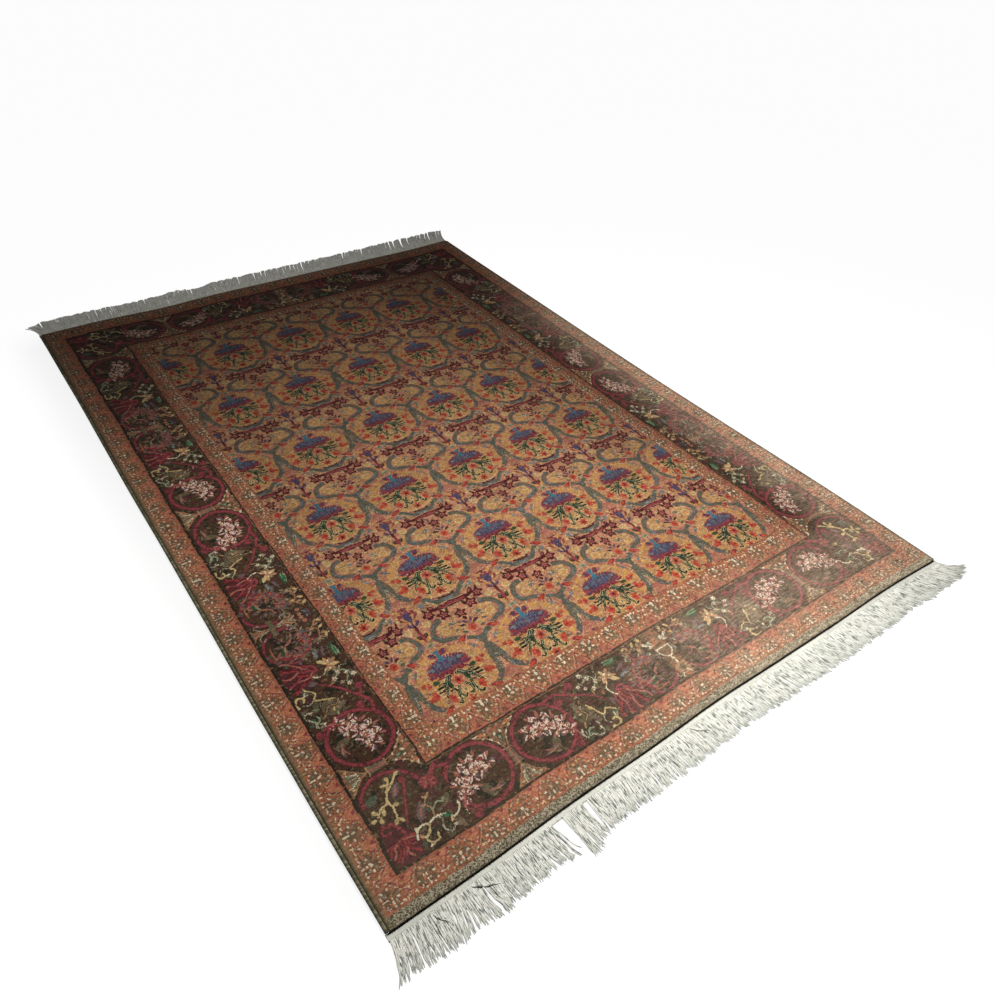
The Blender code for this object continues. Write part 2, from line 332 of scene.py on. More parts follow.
# %% Chart: the medallion's stems and blossoms
def draw_stems(pen):
    """Ink stems with a pale core: two outward, one down with a curled foot, and the inner lyre."""
    stems = (
        ((20, -40), (36, -62), (46, -76), (52, -92), (46, -104)),
        ((16, -33), (30, -45), (44, -52), (58, -53)),
        ((18, -36), (32, -52), (46, -62), (60, -64)),
        ((10, -35), (20, -48), (24, -66), (21, -84), (25, -104), (29, -112), (35, -108)),
        ((7, -66), (14, -80), (16, -91), (11, -101), (4, -98)),
    )
    pen.lines("straw", stems, 10, 8.4)
    pen.lines("ink", stems, 7, 5.4)
    pen.lines("celadon", [points[:-1] for points in stems], 1.8, 1.4)
    pen.line("ink", ((28, -47), (40, -44), (50, -46)), 3)
    pen.leaf("bottle", 22, -42, 26, 12, -86)
    pen.leaf("ink", 26, -46, 20, 5, -84)
    pen.leaf("ink", 26, -70, 14, 5, -20)
    pen.leaf("bottle", 40, -38, 22, 12, 8, 0.6)
    pen.line("ink", ((0, -34), (0, -42)), 3)
    pen.line("ink", ((6, -34), (8, -44)), 2.4)


def draw_blossoms(pen):
    """The medallion's red flowers, each with a pale halo and a dark heart."""
    pen.oval("salmon", 0, -55, 18, 16)
    pen.flower("poppy", 0, -55, 14, 5, 90, 0.45)
    pen.flower("crimson", 0, -55, 7, 5, 54, 0.4)
    pen.oval("cherry", 0, -55, 3)
    pen.rimmed_oval("camel", "straw", 2.5, 0, -87, 6, 9, power=1.4)
    pen.oval("bark", 0, -86, 2.4, 4)
    pen.oval("salmon", 0, -120, 19, 13)
    pen.oval("straw", 0, -120, 16, 11)
    pen.flower("poppy", 0, -119, 15.5, 7, 90, 0.4)
    pen.flower("cherry", 0, -119, 6, 5, 90, 0.5)
    posies = ((68, -38, 25, 12), (84, -34, 60, 8), (66, -68, 12, 16), (34, -90, -14, 17), (84, -74, 40, 9))
    for u, v, turn, size in posies:
        pen.leaf("salmon", u - 4, v - 3, size + 9, size * 1.5, turn, 0.6)
        for spread in (-34, 0, 34):
            pen.leaf("poppy", u - 3, v, size + 4, size * 0.62, turn + spread, 0.6)
        pen.leaf("crimson", u - 2, v, size * 0.7, size * 0.4, turn)
    for u, v, turn in ((58, -82, -60), (88, -56, -40), (90, -20, 70), (74, -92, -60)):
        pen.leaf("salmon", u, v, 16, 6, turn)
        pen.leaf("rosewood", u, v, 9, 3, turn)
    pen.line("cherry", ((-20, -139), (0, -142), (20, -139)), 5)
    pen.leaf("cherry", 12, -140, 14, 5, 22)
    pen.line("straw", ((0, -132), (22, -131), (34, -124)), 3.2)


# %% Chart: the blossom bar and the lower garden
def draw_bar(pen):
    """The slate dish under a medallion, and the rose branch with dark cherry rosettes below it."""
    pen.patch("slate", ((-34, -141), (34, -141), (29, -158), (-29, -158)))
    pen.oval("dusk_blue", 0, -152, 14, 4)
    pen.line("ash", ((-14, -150), (10, -154)), 2.2)
    pen.line("salmon", ((0, -170), (46, -170), (82, -170)), 26, 30)
    rosettes = ((67, -172, 17, 0), (36, -191, 18, 20), (0, -208, 16, 90))
    for u, v, size, turn in rosettes:
        pen.flower("salmon", u, v, size + 5, 5, turn, 0.3)
    pen.line("cherry", ((0, -167), (18, -168), (36, -167), (50, -166)), 17, 9)
    pen.line("rose", ((0, -167), (18, -168), (32, -167)), 10, 6)
    pen.line("rosewood", ((4, -171), (24, -172)), 2.4)
    for u, v, size, turn in rosettes:
        pen.flower("cherry", u, v, size, 5, turn, 0.42)
        pen.flower("rosewood", u, v, size * 0.52, 5, turn, 0.5)
        pen.oval("rose", u, v, size * 0.22)
    pen.leaf("cherry", 46, -162, 20, 12, 34, 0.6)
    pen.leaf("rosewood", 50, -159, 11, 4, 34)
    pen.leaf("cherry", 72, -160, 12, 6, 70, 0.6)
    pen.leaf("cherry", 20, -172, 17, 8, -76, 0.6)
    pen.leaf("bottle", 18, -176, 14, 4, -38)
    pen.leaf("cherry", 56, -180, 15, 8, -20, 0.6)
    pen.leaf("cherry", 0, -220, 13, 8, -90, 0.4)


def draw_lower_garden(pen):
    """Inside the vase-shaped path: pale blossoms, a red rosette on its stem, and small leaves."""
    pen.oval("camel", 34, -232, 40, 30)
    pen.oval("salmon", 14, -226, 22, 14)
    for k in range(20):
        u, v = 10 + 3 * k + 5 * math.sin(2.4 * k), -234 + 24 * math.sin(1.7 * (2.4 * k))
        pen.leaf(("rosewood", "straw", "salmon", "tan", "ash")[k % 5], u, v, 12, 4.2, 70 * k)
    pen.rimmed_oval("straw", "honey", 3, 60, -238, 10, 8)
    pen.flower("camel", 60, -238, 5, 4)
    pen.oval("ash", 36, -226, 9, 7)
    pen.oval("taupe", 37, -226, 4, 3)
    pen.leaf("celadon", 78, -238, 12, 6, -70)
    pen.leaf("straw", 64, -222, 18, 7, 30)
    pen.leaf("heather", 30, -246, 14, 5, -20)
    pen.rimmed_oval("salmon", "poppy", 3, 0, -259, 10, 11)
    pen.flower("crimson", 0, -259, 5, 5, 90, 0.4)
    pen.leaf("violet", 2, -245, 19, 7, 60, 0.6)
    pen.leaf("plum", 6, -248, 20, 8, 24, 0.6)
    pen.leaf("rosewood", 0, -247, 14, 6, 90)
    pen.leaf("sage", 16, -268, 15, 7, 30)
    pen.leaf("salmon", 0, -276, 16, 13, -90)
    pen.burst("rosewood", 0, -278, 3, 14, 7, 2.2, 200, 340)


# %% Chart: the small tree and the red ties
HALF_REPEAT = 115.0  # from a medallion's axis to the stem beside it


def draw_small_tree(pen):
    """The carnation tree on the stems' axis, between two medallions."""
    axis = HALF_REPEAT
    pen.leaf("plum", axis, -112, 15, 7, -90, 0.6)
    pen.leaf("rose", axis, -119, 17, 6, 184, 0.4)
    pen.leaf("honey", axis - 10, -128, 24, 11, 158)
    pen.leaf("rosewood", axis - 18, -127, 18, 5, 170)
    for turn, length, yarn in ((100, 34, "rose"), (124, 34, "crimson"), (146, 30, "rose")):
        pen.leaf(yarn, axis, -164, length + 5, 11, turn, 0.7)
    for turn, length, yarn in ((92, 32, "blue"), (112, 31, "violet"), (134, 27, "violet")):
        pen.leaf(yarn, axis, -164, length, 9, turn, 0.65)
    pen.leaf("violet", axis + 2, -162, 28, 9, 90, 0.7)
    pen.leaf("honey", axis - 8, -160, 22, 6, 122)
    pen.line("violet", ((axis, -158), (axis, -186)), 7)
    pen.leaf("violet", axis - 1, -186, 25, 9, 138, 0.6)
    pen.leaf("rose", axis - 9, -174, 12, 4, 120)
    pen.line("cherry", ((axis, -184), (axis, -212)), 8, 6)
    pen.line("rose", ((axis, -188), (axis, -208)), 2.4)
    pen.leaf("honey", axis, -238, 32, 20, 132, 0.6)
    pen.leaf("cherry", axis, -230, 23, 12, 128, 0.6)
    pen.leaf("sage", axis - 6, -222, 14, 5, 130)
    pen.leaf("rose", axis, -206, 36, 11, -90, 0.35)
    pen.flower("straw", axis - 27, -191, 13, 7, 0, 0.25)
    pen.flower("camel", axis - 27, -191, 7, 5, 0, 0.4)
    pen.oval("straw", axis - 27, -191, 2.5)
    pen.leaf("dusk_blue", 66, -146, 19, 12, 74)
    pen.leaf("celadon", 60, -137, 13, 7, 150)
    pen.burst("ash", 62, -142, 6, 14, 6, 2.2)
    pen.leaf("sage", 50, -146, 12, 5, 40)
    pen.flower("straw", 84, -150, 6, 5)
    pen.oval("celadon", axis, -252, 12, 7)
    pen.oval("taupe", axis, -252, 6, 3)
    for u, v, turn in ((78, -128, 120), (96, -146, 60), (70, -158, 20)):
        pen.leaf("rosewood", u, v, 10, 3, turn)
        pen.leaf("salmon", u + 3, v - 4, 10, 4, turn - 20)


def draw_red_ties(pen):
    """The poppy-red ties on the arms of the lattice."""
    for u, v, turn in ((66, -114, -28), (42, -278, -28)):
        pen.oval("salmon", u, v, 19, 9, turn)
        pen.oval("crimson", u, v, 16, 7, turn, power=1.6)
        pen.oval("poppy", u + 2, v, 9, 4, turn)


# %% Chart: the field's repeat put together
ROW_PITCH = 313.0  # from one row of medallions to the next
UNIT_TOP = 66.0    # where a row's drawing starts, above the medallion's middle
BELOW_ROW = 64.0   # how far it goes on below the start of the next row's


def field_repeat():
    """The right half of one repeat, from the medallion's axis to the stem's axis."""
    canvas = Canvas(0, HALF_REPEAT, UNIT_TOP - ROW_PITCH - BELOW_ROW, UNIT_TOP, "salmon")
    pen = Pen(canvas)
    for draw in (draw_ground, draw_lattice, draw_small_tree, draw_lower_garden, draw_vase_path, draw_bar,
                 draw_palmette, draw_stems, draw_blossoms, draw_red_ties):
        draw(pen)
    return canvas


repeat = field_repeat()
print("field repeat:", repeat.yarn.shape, "squares,", len(np.unique(repeat.yarn)), "yarns")

# %% [markdown]
# ## The borders' repeats
# A main border and two guards frame the field. Their design is the same along all four sides, so
# only the near left quarter is drawn, and the other three are its mirror images. The main border
# is one half repeat, turned and mirrored: a ring with a bough of white blossom, a scroll of
# leaves, a crimson tuft and a ring round a palmette. t runs along the border and b across it,
# towards the field.

# %% Chart: the blossom ring
def strokes(pen, u, v, count, start, end, foot, length, width, yarns, sway=30):
    """Short petals on an arc round (u, v), each leaning its own way by up to `sway` degrees."""
    for k in range(count):
        turn = start + (end - start) * k / (count - 1)
        a, near = math.radians(turn), foot * (1 + 0.22 * math.sin(1.7 * k))
        foot_u, foot_v = u + near * math.cos(a), v + near * math.sin(a)
        grow = length * (0.9 + 0.3 * math.sin(2.3 * k + 1))
        lean = turn + sway * math.sin(1.9 * k + 0.6)
        pen.leaf(yarns[k % len(yarns)], foot_u, foot_v, grow, width, lean, 0.55)


def draw_blossom_ring(pen):
    """A rose ring whose end runs out into a stem with curled knobs, and the bough inside it."""
    pen.ring("plum", 84, 0, 69, 12)
    pen.ring("rose", 84, 0, 69, 8)
    stem = ((124, 57), (148, 63), (168, 57), (196, 38), (226, 16), (252, -12))
    pen.line("plum", stem, 11, 5)
    pen.line("rose", stem, 8, 3)
    for u, v, size in ((202, 62, 11), (156, 40, 11), (132, -66, 11)):
        pen.oval("plum", u, v, size)
        pen.oval("rose", u, v, size - 2)
        pen.ring("plum", u, v, size * 0.42, 2.2, 30, 280)
    pen.line("rose", ((178, 50), (188, 58), (197, 62)), 6)
    pen.line("rose", ((140, -56), (146, -38), (144, -22)), 5)
    pen.leaf("olive", 84, -56, 40, 18, 74)
    pen.leaf("ink", 98, -50, 34, 12, 60)
    pen.leaf("heather", 52, -48, 40, 10, 8, 0.5, 4)
    pen.leaf("tan", 58, -50, 24, 4, 12)
    pen.leaf("taupe", 92, -58, 20, 5, 160)
    pen.line("rosewood", ((60, -38), (76, -44), (92, -40)), 2.4)
    heads = ((136, -26), (130, -4), (116, 16), (96, 30), (74, 30), (56, 16), (98, 6), (76, 8), (114, -12))
    for k, (u, v) in enumerate(heads):
        strokes(pen, u, v, 6, 25 * k, 25 * k + 300, 5, 17, 6, ("rosewood", "heather", "rose"), 20)
    pen.line("rosewood", ((146, -42), (134, -18), (114, 4), (90, 16), (62, 8)), 3.2)
    for k, (u, v) in enumerate(heads):
        strokes(pen, u, v, 6, 40 * k, 40 * k + 290, 5, 16, 3.8, ("blossom", "cream", "blossom"), 34)
        strokes(pen, u, v, 4, 70 * k, 70 * k + 250, 3, 11, 3.2, ("blossom", "rosewood"), 50)
    pen.line("rose", ((128, -12), (134, -26), (138, -42)), 3.4)


# %% Chart: the spandrels
def draw_spandrels(pen):
    """Between two blossom rings: a tan bar, a lobed triangle of florets towards the field, and a
    lace of pale strokes towards the outer edge."""
    pen.patch("chocolate", ((0, 10), (9, 30), (24, 50), (58, 78), (-58, 78), (-24, 50), (-9, 30)))
    pen.patch("bark", ((0, 18), (8, 36), (22, 54), (44, 74), (-44, 74), (-22, 54), (-8, 36)))
    pen.patch("bark", ((0, -24), (12, -46), (40, -76), (-40, -76), (-12, -46)))
    pen.patch("taupe", ((-9, -28), (9, -28), (7, 16), (-7, 16)))
    pen.line("rosewood", ((0, -24), (0, 12)), 5)
    pen.line("tan", ((-12, -27), (12, -27)), 2.8)
    pen.line("tan", ((-10, 14), (10, 14)), 2.8)
    drops = (
        ("cream", 8, 30, 60, 9), ("cream", 16, 44, 50, 9), ("straw", 28, 56, 30, 9),
        ("cream", 42, 66, 40, 9), ("cream", 10, 52, 120, 10), ("straw", 20, 64, 10, 10),
        ("cream", 34, 71, -10, 10), ("tan", 6, 70, 40, 9), ("ash", 24, 74, 160, 8),
    )
    for side in (-1, 1):
        pen.line("tan", ((side * 4, 18), (side * 12, 38), (side * 27, 56), (side * 52, 74)), 2.6)
        for yarn, u, v, turn, length in drops:
            pen.leaf(yarn, side * u, v, length, 4.6, 90 + side * (turn - 90))
        pen.leaf("orange_rust", side * 26, 66, 14, 9, 90 - side * 70)
        pen.leaf("rust", side * 12, 60, 13, 7, 90)
        pen.leaf("ink", side * 17, 52, 9, 4, 90 - side * 40)
        pen.line("tan", ((0, -32), (side * 12, -50), (side * 36, -74)), 2.8)
        pen.line("cream", ((side * 2, -46), (side * 14, -62), (side * 17, -74)), 2)
        pen.leaf("celadon", side * 5, -50, 24, 5, -90 + side * 22, 0.6)
        pen.oval("cream", side * 8, -50, 2.4)
        pen.oval("straw", side * 23, -68, 3.4, 2.6)
        pen.leaf("rust", side * 20, -58, 10, 4, -60)
    pen.leaf("bottle", 0, 32, 26, 11, 90, 0.55)
    pen.leaf("celadon", 0, 36, 16, 3.6, 90)
    pen.line("ash", ((0, -36), (0, -75)), 2.2)


# %% Chart: the leaf scrolls
INK_RIM = 3.4  # how much wider a hook's ink edge is


def draw_leaf_scrolls(pen):
    """From a blossom ring to a crimson tuft: two pale hooked leaves by the outer edge, a thin
    branch between them, and a spray of small pale blossoms towards the field."""
    pen.oval("olive", 186, -14, 24, 22)
    shadows = (
        ("sage", 166, -46, 262, 30), ("olive", 214, -36, 214, 26), ("taupe", 184, 20, 250, 30),
        ("olive", 206, -60, 250, 22), ("sage", 236, -60, 60, 26), ("olive", 176, -24, 60, 24),
        ("taupe", 250, 20, 60, 34), ("heather", 232, 66, 340, 28), ("heather", 262, -34, 100, 22),
    )
    for yarn, u, v, turn, length in shadows:
        pen.leaf(yarn, u, v, length, 13, turn)
    for k in range(26):
        u, v = 148 + 5.2 * k, 4 + 66 * math.sin(2.4 * k)
        pen.leaf(("taupe", "olive", "ash", "bark", "celadon", "tan")[k % 6], u, v, 17, 4.4, 47 * k)
    long_hook = ((148, -48), (153, -62), (168, -62), (178, -70), (191, -76), (197, -66), (190, -60))
    hooks = (
        ("ash", long_hook, 6, 5),
        ("celadon", ((160, -60), (170, -50), (182, -52)), 5, 3.6),
        ("straw", ((219, -74), (233, -77), (243, -67), (238, -56), (228, -58)), 6.4, 5),
        ("straw", ((203, 0), (212, -22), (221, -38), (232, -30), (244, -35), (256, -46)), 4.2, 3.6),
        ("ash", ((221, -38), (214, -52), (221, -64)), 3.4, 3),
        ("tan", ((178, -30), (190, -20), (186, -4), (196, 8)), 3, 2.6),
        ("celadon", ((250, 28), (262, 42), (256, 56), (240, 62)), 4, 3.4),
        ("ash", ((262, 40), (274, 50), (272, 62)), 3.6, 3),
        ("cream", ((282, -18), (272, -4), (271, 10), (282, 20)), 3.2, 3),
    )
    for yarn, points, width, end_width in hooks:
        pen.line("ink", points, width + INK_RIM, end_width + INK_RIM)
    for yarn, points, width, end_width in hooks:
        pen.line(yarn, points, width, end_width)
    pen.leaves(11, 4.6, (
        ("cream", 150, -50, 60), ("cream", 196, -64, 100), ("cream", 240, -54, 80),
        ("ash", 255, -46, 10), ("tan", 182, -8, 130), ("tan", 192, 10, 60),
        ("straw", 172, -14, 20), ("tan", 200, -6, 300), ("ash", 184, 2, 20),
    ))
    spray = ((247, 24, 5.5), (219, 46, 5), (238, 68, 6), (262, 38, 5), (250, 54, 4.6), (230, 34, 4))
    for u, v, size in spray:
        pen.flower("ash", u, v, size + 1.6, 5, 20 * size, 0.4)
        pen.flower("cream", u, v, size, 5, 20 * size, 0.4)
        pen.oval("tan", u, v, 1.6)
    pen.leaf("leaf_green", 172, -56, 12, 5, 300)


# %% Chart: the crimson tuft
def plume(u, v, angle, reaches, bend, rate, start=0.0):
    """Places along a plume from (u, v) at an angle, swung aside by bend * sin(rate * s + start)."""
    swing = [bend * math.sin(rate * s + start) for s in reaches]
    return [(u + s * math.cos(angle) + d, v + s * math.sin(angle)) for s, d in zip(reaches, swing)]


def draw_crimson_tuft(pen):
    """A wing of crimson plumes by the outer edge, with a lily on its pale stem and a bright leaf."""
    pen.oval("plum", 296, -42, 34, 31, 8, power=2.3)
    for k in range(9):
        foot, bend, a = 288 + 2.4 * k, (-7, 7)[k % 2], math.radians(236 + 8.4 * k)
        route = plume(foot, -6, a, (0, 18, 36, 52, 66), bend, 0.09)
        pen.line(("rose", "crimson", "rosewood")[k % 3], route, 3.8, 5.4)
        pen.line("cherry", [(u + 3.6, v) for u, v in route[1:]], 2.2, 2.6)
    pen.oval("rose", 300, -6, 15, 9, -30)
    pen.oval("plum", 300, -7, 7, 3.6, -30)
    pen.ring("rose", 288, -14, 8, 4, 0, 300)
    pen.line("cream", ((280, -16), (272, -4), (271, 10), (281, 20)), 3.2)
    petals = (
        (62, "tan", 27), (104, "straw", 26), (150, "tan", 22), (206, "camel", 20), (-8, "camel", 24),
        (-38, "straw", 32), (28, "tan", 20),
    )
    for turn, yarn, length in petals:
        pen.leaf(yarn, 290, 30, length, 9, turn, 0.55)
    for turn in (84, 176, 10):
        pen.leaf("cream", 290, 30, 15, 4.4, turn, 0.55)
    pen.flower("rosewood", 290, 31, 6.5, 5)
    pen.oval("honey", 290, 31, 2.6)
    pen.leaf("celadon", 302, 67, 42, 7, -8)
    pen.leaf("leaf_green", 304, 60, 36, 13, -2)
    pen.line("celadon", ((306, 60), (334, 59)), 2)
    pen.leaf("bottle", 332, 52, 20, 8, 40)
    pen.leaf("heather", 318, 30, 34, 10, 20, 0.5, 3)
    pen.leaf("dusk_blue", 316, 14, 28, 7, 12, 0.5, 3)


# %% Chart: the palmette ring and its junction
def draw_palmette_ring(pen):
    """A rose ring, open towards the field, round a palmette: grey feathers, a broad rust arc and a
    dark heart."""
    pen.ring("plum", 390, -20, 55, 10, 168, 378)
    pen.ring("rose", 390, -20, 55, 6, 168, 378)
    strokes(pen, 386, -14, 24, 20, 262, 42, 18, 8, ("heather", "taupe", "bark", "slate"), 26)
    strokes(pen, 386, -14, 14, 10, 170, 50, 15, 3, ("ash", "tan", "celadon"), 50)
    pen.ring("heather", 386, -14, 36, 17, 40, 250)
    pen.ring("crimson", 386, -14, 40, 7, 60, 228)
    strokes(pen, 386, -14, 30, 44, 246, 32, 15, 5, ("rust", "heather", "rosewood", "crimson", "taupe"), 76)
    strokes(pen, 386, -14, 23, 48, 242, 27, 9, 3.6, ("taupe", "heather", "poppy", "plum"), 84)
    pen.oval("soot", 384, -18, 22, 20)
    strokes(pen, 384, -20, 15, 100, 440, 9, 15, 4.8, ("heather", "rosewood", "bark", "heather", "olive"), 60)
    strokes(pen, 386, -16, 26, 0, 346, 20, 17, 4, ("heather", "rosewood", "taupe", "heather", "rust"), 34)
    pen.leaf("rosewood", 392, -30, 16, 5, 70)
    pen.leaf("celadon", 372, -36, 20, 4, 24)
    pen.oval("bottle", 376, -40, 9, 5, 10)
    pen.leaf("crimson", 350, -34, 26, 8, -58)
    pen.leaf("rust", 364, -62, 40, 7, 4, 0.5, 4)
    pen.line("tan", ((362, 64), (378, 52), (394, 58), (410, 50), (430, 62)), 3.4)
    twigs = (
        (364, 64, 20, "straw"), (384, 54, 104, "tan"), (398, 58, 60, "straw"), (412, 50, 76, "tan"),
        (428, 60, 120, "straw"), (374, 58, 250, "tan"), (404, 54, 280, "camel"),
    )
    for u, v, turn, yarn in twigs:
        pen.leaf(yarn, u, v, 17, 7, turn, 0.6)
        pen.oval("bark", u, v, 2.2)
    strokes(pen, 398, 62, 11, 0, 180, 22, 12, 3, ("straw", "ash", "tan"), 80)
    pen.oval("rosewood", 438, 42, 6, 5)


def draw_palmette_junction(pen):
    """Where two palmette rings meet: an hourglass of tan and pale curls on an olive bar."""
    pen.patch("bark", ((446, -76), (458, -76), (458, 24), (444, 24), (454, -28)))
    pen.patch("olive", ((432, -35), (458, -35), (458, -23), (432, -23)))
    curls = (
        ("ash", ((457, 10), (450, 28), (438, 38), (431, 32), (437, 24)), 2.6),
        ("tan", ((458, 22), (452, 40), (440, 50)), 3),
        ("ash", ((458, 40), (450, 54)), 2.6),
    )
    for side in (-1, 1):
        for yarn, route, width in curls:
            pen.line(yarn, [(u, -28 + side * v) for u, v in route], width)
    pen.line("taupe", ((436, -29), (458, -29)), 3)
    pen.flower("tan", 452, 40, 6, 5)
    pen.leaf("violet", 444, 62, 14, 6, 0)
    pen.leaf("dusk_blue", 446, 50, 12, 5, 40)


# %% Chart: the half repeat put together
def draw_half_border(pen):
    """The motifs lie over one another, so their order is fixed."""
    for draw in (draw_leaf_scrolls, draw_palmette_ring, draw_blossom_ring, draw_crimson_tuft,
                 draw_palmette_junction, draw_spandrels):
        draw(pen)


# %% Chart: the corner
def draw_corner(pen):
    """The corner square: half a rose arch with a vine, a crimson tuft and a pale scroll."""
    pen.patch("chocolate", ((-780, -1125), (-606, -1125), (-606, -922), (-780, -922)))
    arch = ((-768, -974), (-762, -952), (-742, -934), (-716, -928), (-690, -934), (-664, -952), (-648, -980))
    pen.line("plum", arch, 12)
    pen.line("rose", arch, 7.5)
    pen.oval("plum", -636, -998, 21, 16, -40)
    pen.oval("rose", -636, -998, 18, 13, -40)
    pen.burst("rosewood", -636, -998, 3, 15, 7, 2.2)
    pen.line("rose", ((-628, -990), (-614, -978), (-600, -968)), 10)
    pen.line("plum", ((-640, -1008), (-652, -1022), (-662, -1030)), 8, 5)
    pen.line("plum", ((-674, -962), (-684, -986), (-700, -1018), (-714, -1048)), 9, 7)
    pen.line("rose", ((-674, -962), (-684, -986), (-700, -1018), (-714, -1048)), 6, 4)
    pen.oval("rose", -676, -964, 8, 8)
    pen.ring("plum", -676, -964, 4, 2, 0, 280)
    pen.leaf("heather", -690, -962, 40, 18, 236, 0.5, 5)
    pen.leaf("rosewood", -694, -968, 26, 4, 236)
    pen.leaf("heather", -692, -1062, 44, 22, 62, 0.5, 5)
    pen.leaf("rosewood", -688, -1056, 26, 4, 62)
    vine = (
        ((-704, -954), (-714, -970), (-724, -988), (-722, -1008), (-726, -1034)),
        ((-716, -972), (-700, -962), (-684, -946)),
        ((-724, -992), (-742, -996), (-756, -1008)),
    )
    pen.lines("ink", vine, 8)
    pen.lines("straw", vine, 5.2, 4.2)
    vine_leaves = (
        (-702, -956, 100), (-706, -960, 160), (-690, -948, 20), (-752, -1004, 130), (-758, -1010, 190),
        (-752, -1010, 260), (-738, -998, 240), (-724, -1028, 300), (-724, -1028, 230), (-722, -1004, 0),
    )
    for u, v, turn in vine_leaves:
        pen.leaf("olive", u, v, 19, 11, turn, 0.6)
        pen.leaf("straw", u, v, 16, 8, turn, 0.6)
    pen.oval("slate", -750, -972, 15, 9, 20)
    pen.oval("plum", -746, -1082, 33, 38, 10, power=2.4)
    for k in range(12):
        route = plume(-742, -1068, math.radians(196 + 14 * k), (6, 18, 30, 42), 4, 0.16, k)
        pen.line(("rose", "crimson", "rosewood", "crimson")[k % 4], route, 3.4, 4.6)
    pen.line("rose", ((-760, -1030), (-744, -1034), (-734, -1048), (-728, -1064)), 6)
    pen.ring("rose", -758, -1042, 9, 5, 20, 330)
    pen.leaves(30, 15, (
        ("sage", -690, -1090, 216), ("olive", -650, -1096, 250), ("sage", -664, -1058, 90),
        ("olive", -640, -1060, 40), ("taupe", -684, -1070, 190), ("taupe", -636, -1090, 300),
    ))
    curl = ((-680, -1072), (-688, -1086), (-700, -1094), (-696, -1108), (-682, -1110), (-678, -1098))
    scroll = (
        ("cream", ((-716, -1088), (-708, -1074), (-694, -1068), (-680, -1072), (-664, -1066)), 4.8),
        ("straw", curl, 5.2),
        ("ash", ((-664, -1066), (-656, -1080), (-662, -1096), (-652, -1108), (-640, -1102)), 4.8),
        ("cream", ((-664, -1066), (-646, -1074), (-634, -1086), (-620, -1084), (-612, -1072)), 4.8),
        ("tan", ((-664, -1066), (-660, -1050), (-666, -1034), (-656, -1022)), 4),
        ("celadon", ((-660, -1052), (-646, -1044), (-634, -1050)), 3.8),
    )
    for yarn, points, width in scroll:
        pen.line("ink", points, width + INK_RIM)
    for yarn, points, width in scroll:
        pen.line(yarn, points, width, width * 0.85)
    pen.leaves(13, 6, (
        ("cream", -706, -1076, 100), ("cream", -690, -1110, 200), ("ash", -646, -1104, 20),
        ("cream", -616, -1076, 60), ("straw", -656, -1026, 130), ("tan", -656, -1026, 60),
        ("tan", -664, -1036, 170), ("celadon", -638, -1048, 20), ("straw", -634, -1084, 230),
        ("straw", -700, -1094, 140),
    ))
    pen.leaf("leaf_green", -652, -1072, 20, 7, -34)


# %% Chart: the near left quarter
# Where each band of the frame begins, counted inward from the outer edge: at the left side, at
# the near end, and as a depth that is the same on both, so that the corners mitre by themselves.
LEFT_BANDS = (-843, -838, -785, -775, -622, -616, -566)
NEAR_BANDS = (-1200, -1178, -1127, -1119, -967, -958, -893)
DEPTHS = (0, 10, 64, 73, 226, 234, 290)
HALF_BORDER = 458.0  # from where two blossom rings meet to where two palmette rings meet
MIDDLE = 10.0        # where the borders' left and right sides mirror their near halves
END_AXIS = -1043.0   # the main border's axis at the near end


def draw_main_border(canvas):
    """Half repeats up the side and along the end, then the corner and the spandrel above it."""
    side, end = -698.5, END_AXIS
    draw_half_border(Pen(canvas, side, MIDDLE, -90))
    draw_half_border(Pen(canvas, side, MIDDLE - 2 * HALF_BORDER, -90, mirror=-1))
    draw_half_border(Pen(canvas, -HALF_BORDER, end))
    draw_half_border(Pen(canvas, -HALF_BORDER, end, mirror=-1))
    draw_corner(Pen(canvas))
    draw_spandrels(Pen(canvas, side, MIDDLE - 2 * HALF_BORDER, -90))


# %% Chart: the vase
def draw_vase(pen):
    """The left half of the cream vase where the near border's two palmettes meet."""
    pen.patch("bark", ((-18, -76), (18, -76), (22, 76), (-22, 76)))
    pen.oval("tan", 0, -48, 20, 16)
    pen.flower("olive", 0, -48, 9, 5, 90)
    pen.line("cream", ((-18, 20), (-16, 4), (0, -8), (16, 4), (18, 20)), 3.4)
    pen.line("cream", ((-20, 22), (20, 22)), 3.4)
    pen.line("cream", ((0, -8), (0, -30)), 4, 8)
    pen.line("tan", ((-18, -22), (18, -22)), 3)
    pen.flower("tan", 0, 46, 10, 6)
    pen.oval("rust", 0, 46, 3)
    for yarn, length, width in (("olive", 4, 11.16), ("cream", 0, 6.24)):
        for turn, share in ((150, 1.0), (188, 0.62), (110, 0.66)):
            pen.leaf(yarn, -14, 38, 24 * share + length, width, turn, 0.65)
    pen.ring("cream", -34.8, 50, 2.88, 2.4)
    pen.line("olive", ((-14, 38), (-26.5, 45.2)), 2.2)
    pen.line("cream", ((-6, -56), (-14, -70)), 2.6)


# %% Chart: the guards
GUARD_HALF, GUARD_DEPTH = 36, 54   # half a floret's repeat and a guard's depth, as drawn


def paint(yarn, name, inside):
    yarn[inside] = NUMBER[name]


